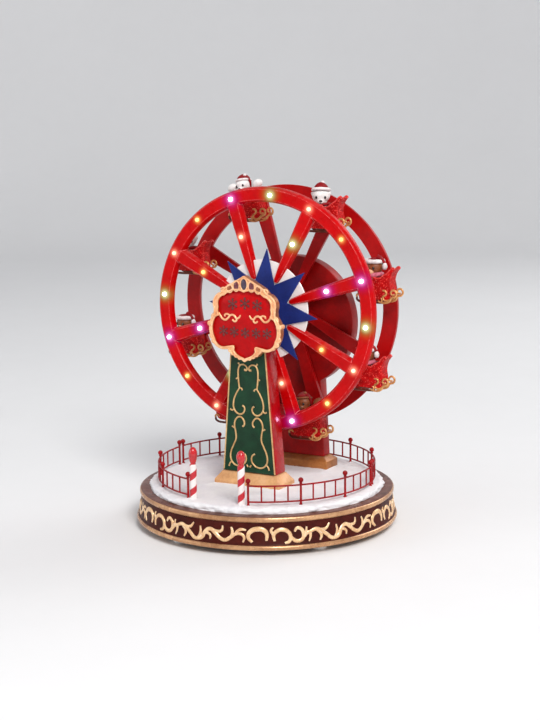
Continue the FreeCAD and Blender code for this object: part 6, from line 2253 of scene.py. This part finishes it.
    def build_body(self) -> list[Piece]:
        """Body, arms and scarf."""
        lumps = [
            blob("trunk", self.at(0.6, 0, -7.0), (6.0, 4.9, 8.0)),
            blob("chest", self.at(-0.4, 0, 0.0), (5.0, 4.6, 4.6)),
        ]
        for arm in ARMS_UP if self.kind in (Kind.PAWS, Kind.DARK_PAWS) else ARMS_DOWN:
            x, y, z = arm.paw
            for share, thick in self.arm_lumps:
                place = self.at(x * share, y * share, self.shoulder + (z - self.shoulder) * share)
                lumps.append(blob("arm", place, (thick, 2.1, thick)))
            lumps.append(blob("paw", self.at(x, y, z), arm.size, arm.turn))
        body = dress(melted("body", lumps, 0.45), self.fur)
        reach, half, lift = (6.2, 1.9, 1.0) if self.kind is Kind.BROWN else (5.2, 1.4, 0.0)
        loop = [(reach * math.cos(a), reach * 0.92 * math.sin(a), half) for a in around(16)]
        neck = self.pose.place[1] - 6.9 * self.pose.flat + lift
        scarf = strokes("scarf", [loop], lambda x, y: self.at(-0.8 + x, y, neck + 0.1 * x), 3, closed=True)
        return [body, dress(scarf, SCARF_PINK if self.kind is Kind.BROWN else HAT_RED)]

    def build(self) -> Piece:
        """The whole figure."""
        return joined("rider_model", self.build_head() + self.build_body())


@dataclass
class Cars:
    """Eight cars hanging from the rods, each with its rider."""

    kinds: tuple[Kind, ...] = (
        Kind.PAWS, Kind.WHITE, Kind.BROWN, Kind.BROWN, Kind.DARK_PAWS, Kind.WHITE, Kind.BROWN, Kind.WHITE,
    )
    brown_slots: tuple[int, ...] = (2, 6)

    def build(self) -> None:
        """Model each kind once and copy it to its places."""
        sleigh = Sleigh().build()
        models = {kind: Rider(kind).build() for kind in Kind}
        for number, kind in enumerate(self.kinds):
            x, z = wheel_place(LAMP_CIRCLE, number)
            body = f"car_{number + 1}"
            car = copied(sleigh, f"sleigh_car_{number + 1}", (x, 0.0, z))
            fit(car, body, (f"sleigh_{number + 1}",))
            figure = copied(models[kind], f"rider_figure_{number + 1}", (x, 0.0, z))
            fit(figure, body, (f"rider_{number + 1}",))
        for model in [sleigh, *models.values()]:
            discard(model)


# Inner pieces and studio


INNER_FINISHES: dict[str, Finish] = {
    "base_plate": BLACK, "battery_box": BLACK, "battery_door": BLACK, "power_switch": BLACK,
    "switch_knob": BLACK, "battery_cells": CELL_WRAP, "speaker": BLACK, "control_board": BOARD_GREEN,
    "case_screws": STEEL, "gear_motor": MOTOR_IVORY, "motor_pinion": NYLON, "wheel_gear": NYLON,
    "axle": STEEL, "axle_bushes": BRASS, "slip_rings": BRASS, "slip_brushes": BRASS,
}


def dress_inner(nodes: dict[str, Piece]) -> None:
    """Give the carried-over nodes their finishes."""
    for name, finish in INNER_FINISHES.items():
        node = nodes[name]
        material = finish.material()
        if not node.material_slots:
            node.data.materials.append(material)
        for slot in node.material_slots:
            slot.material = material
        LOG.info("%s keeps its shape and is dressed in %s", name, finish.name)


@dataclass(frozen=True)
class SoftLamp:
    """Square soft lamp that faces the wheel: its place in mm, its size in metres and its power in watts."""

    name: str
    place: Place
    size: float
    power: float
    colour: Place


@dataclass
class Studio:
    """Pale round floor, soft lamps and the photograph's camera."""

    eye: Place = (563.1, -1022.05, 333.0)
    azimuth: float = 28.678
    elevation: float = 9.42
    roll: float = -0.468
    lens: float = 69.325
    aim: Place = (0.0, 0.0, 0.14)
    floor_z: float = -0.02
    bend: Point = (2600.0, 900.0)
    world_colour: Colour = tint(244, 246, 250)
    world_strength: float = 0.42
    lamps: tuple[SoftLamp, ...] = (
        SoftLamp("key_lamp", (1500, -1500, 1900), 1.0, 63.0, (1.0, 0.985, 0.96)),
        SoftLamp("fill_lamp", (-1900, -1500, 1000), 1.6, 9.0, (0.95, 0.97, 1.0)),
        SoftLamp("rear_lamp", (900, 1900, 1500), 1.2, 16.0, (1.0, 1.0, 1.0)),
    )

    def build_floor(self) -> None:
        """Floor that curves up into a wall all round."""
        reach, round_off = self.bend
        profile = [(0, self.floor_z), (1400, self.floor_z), (2000, 0.0)]
        for turn in around(40)[:11]:
            profile.append((reach + round_off * math.sin(turn), round_off - round_off * math.cos(turn)))
        profile += [(3500, 2600), (3560, 2600), (3560, -40), (0, -40)]
        dress(turned("studio_floor", profile, 96), FLOOR)

    def build_lamp(self, lamp: SoftLamp) -> None:
        """One lamp, turned towards the wheel."""
        data = bpy.data.lights.new(lamp.name, "AREA")
        data.size = lamp.size
        data.energy = lamp.power
        data.color = lamp.colour
        piece = bpy.data.objects.new(lamp.name, data)
        bpy.context.scene.collection.objects.link(piece)
        spot = Vector(lamp.place) * MM
        piece.location = spot
        piece.rotation_euler = (Vector(self.aim) - spot).to_track_quat("-Z", "Y").to_euler()

    def build_camera(self) -> None:
        """Camera at the photograph's viewing angle."""
        az, el, roll = (math.radians(v) for v in (self.azimuth, self.elevation, self.roll))
        back = Vector((math.sin(az) * math.cos(el), -math.cos(az) * math.cos(el), math.sin(el)))
        right = Vector((math.cos(az), math.sin(az), 0.0))
        up = back.cross(right)
        side = right * math.cos(roll) + up * math.sin(roll)
        top = -right * math.sin(roll) + up * math.cos(roll)
        data = bpy.data.cameras.new("photo_camera")
        data.lens = self.lens
        data.clip_end = 20.0
        camera = bpy.data.objects.new("photo_camera", data)
        bpy.context.scene.collection.objects.link(camera)
        matrix = Matrix((side, top, back)).transposed().to_4x4()
        matrix.translation = Vector(self.eye) * MM
        camera.matrix_world = matrix
        bpy.context.scene.camera = camera

    def build(self) -> None:
        """Floor, lamps, world and camera."""
        self.build_floor()
        for lamp in self.lamps:
            self.build_lamp(lamp)
        world = bpy.data.worlds.new("studio_world")
        bpy.context.scene.world = world
        world.use_nodes = True
        background = world.node_tree.nodes["Background"]
        background.inputs["Color"].default_value = self.world_colour
        background.inputs["Strength"].default_value = self.world_strength
        bpy.context.scene.view_settings.view_transform = "Standard"
        self.build_camera()


def main() -> None:
    """Build the looks in order."""
    logging.basicConfig(level=logging.INFO, format="%(message)s")
    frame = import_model()
    Studio().build()
    Base().build()
    railing, poles = Railing(), StripedPoles()
    SnowField(railing.posts() + [(pole.x, pole.y) for pole in poles.poles]).build()
    railing.build()
    poles.build()
    FRONT_PLINTH.build()
    REAR_PLINTH.build()
    FrontTower().build()
    Sign().build()
    BackTower().build()
    WheelRing(rear=True).build()
    WheelRing().build()
    Hub().build()
    Lamps().build()
    Cars().build()
    dress_inner(frame["nodes"])
    bpy.context.view_layer.update()


if __name__ == "__main__":
    main()
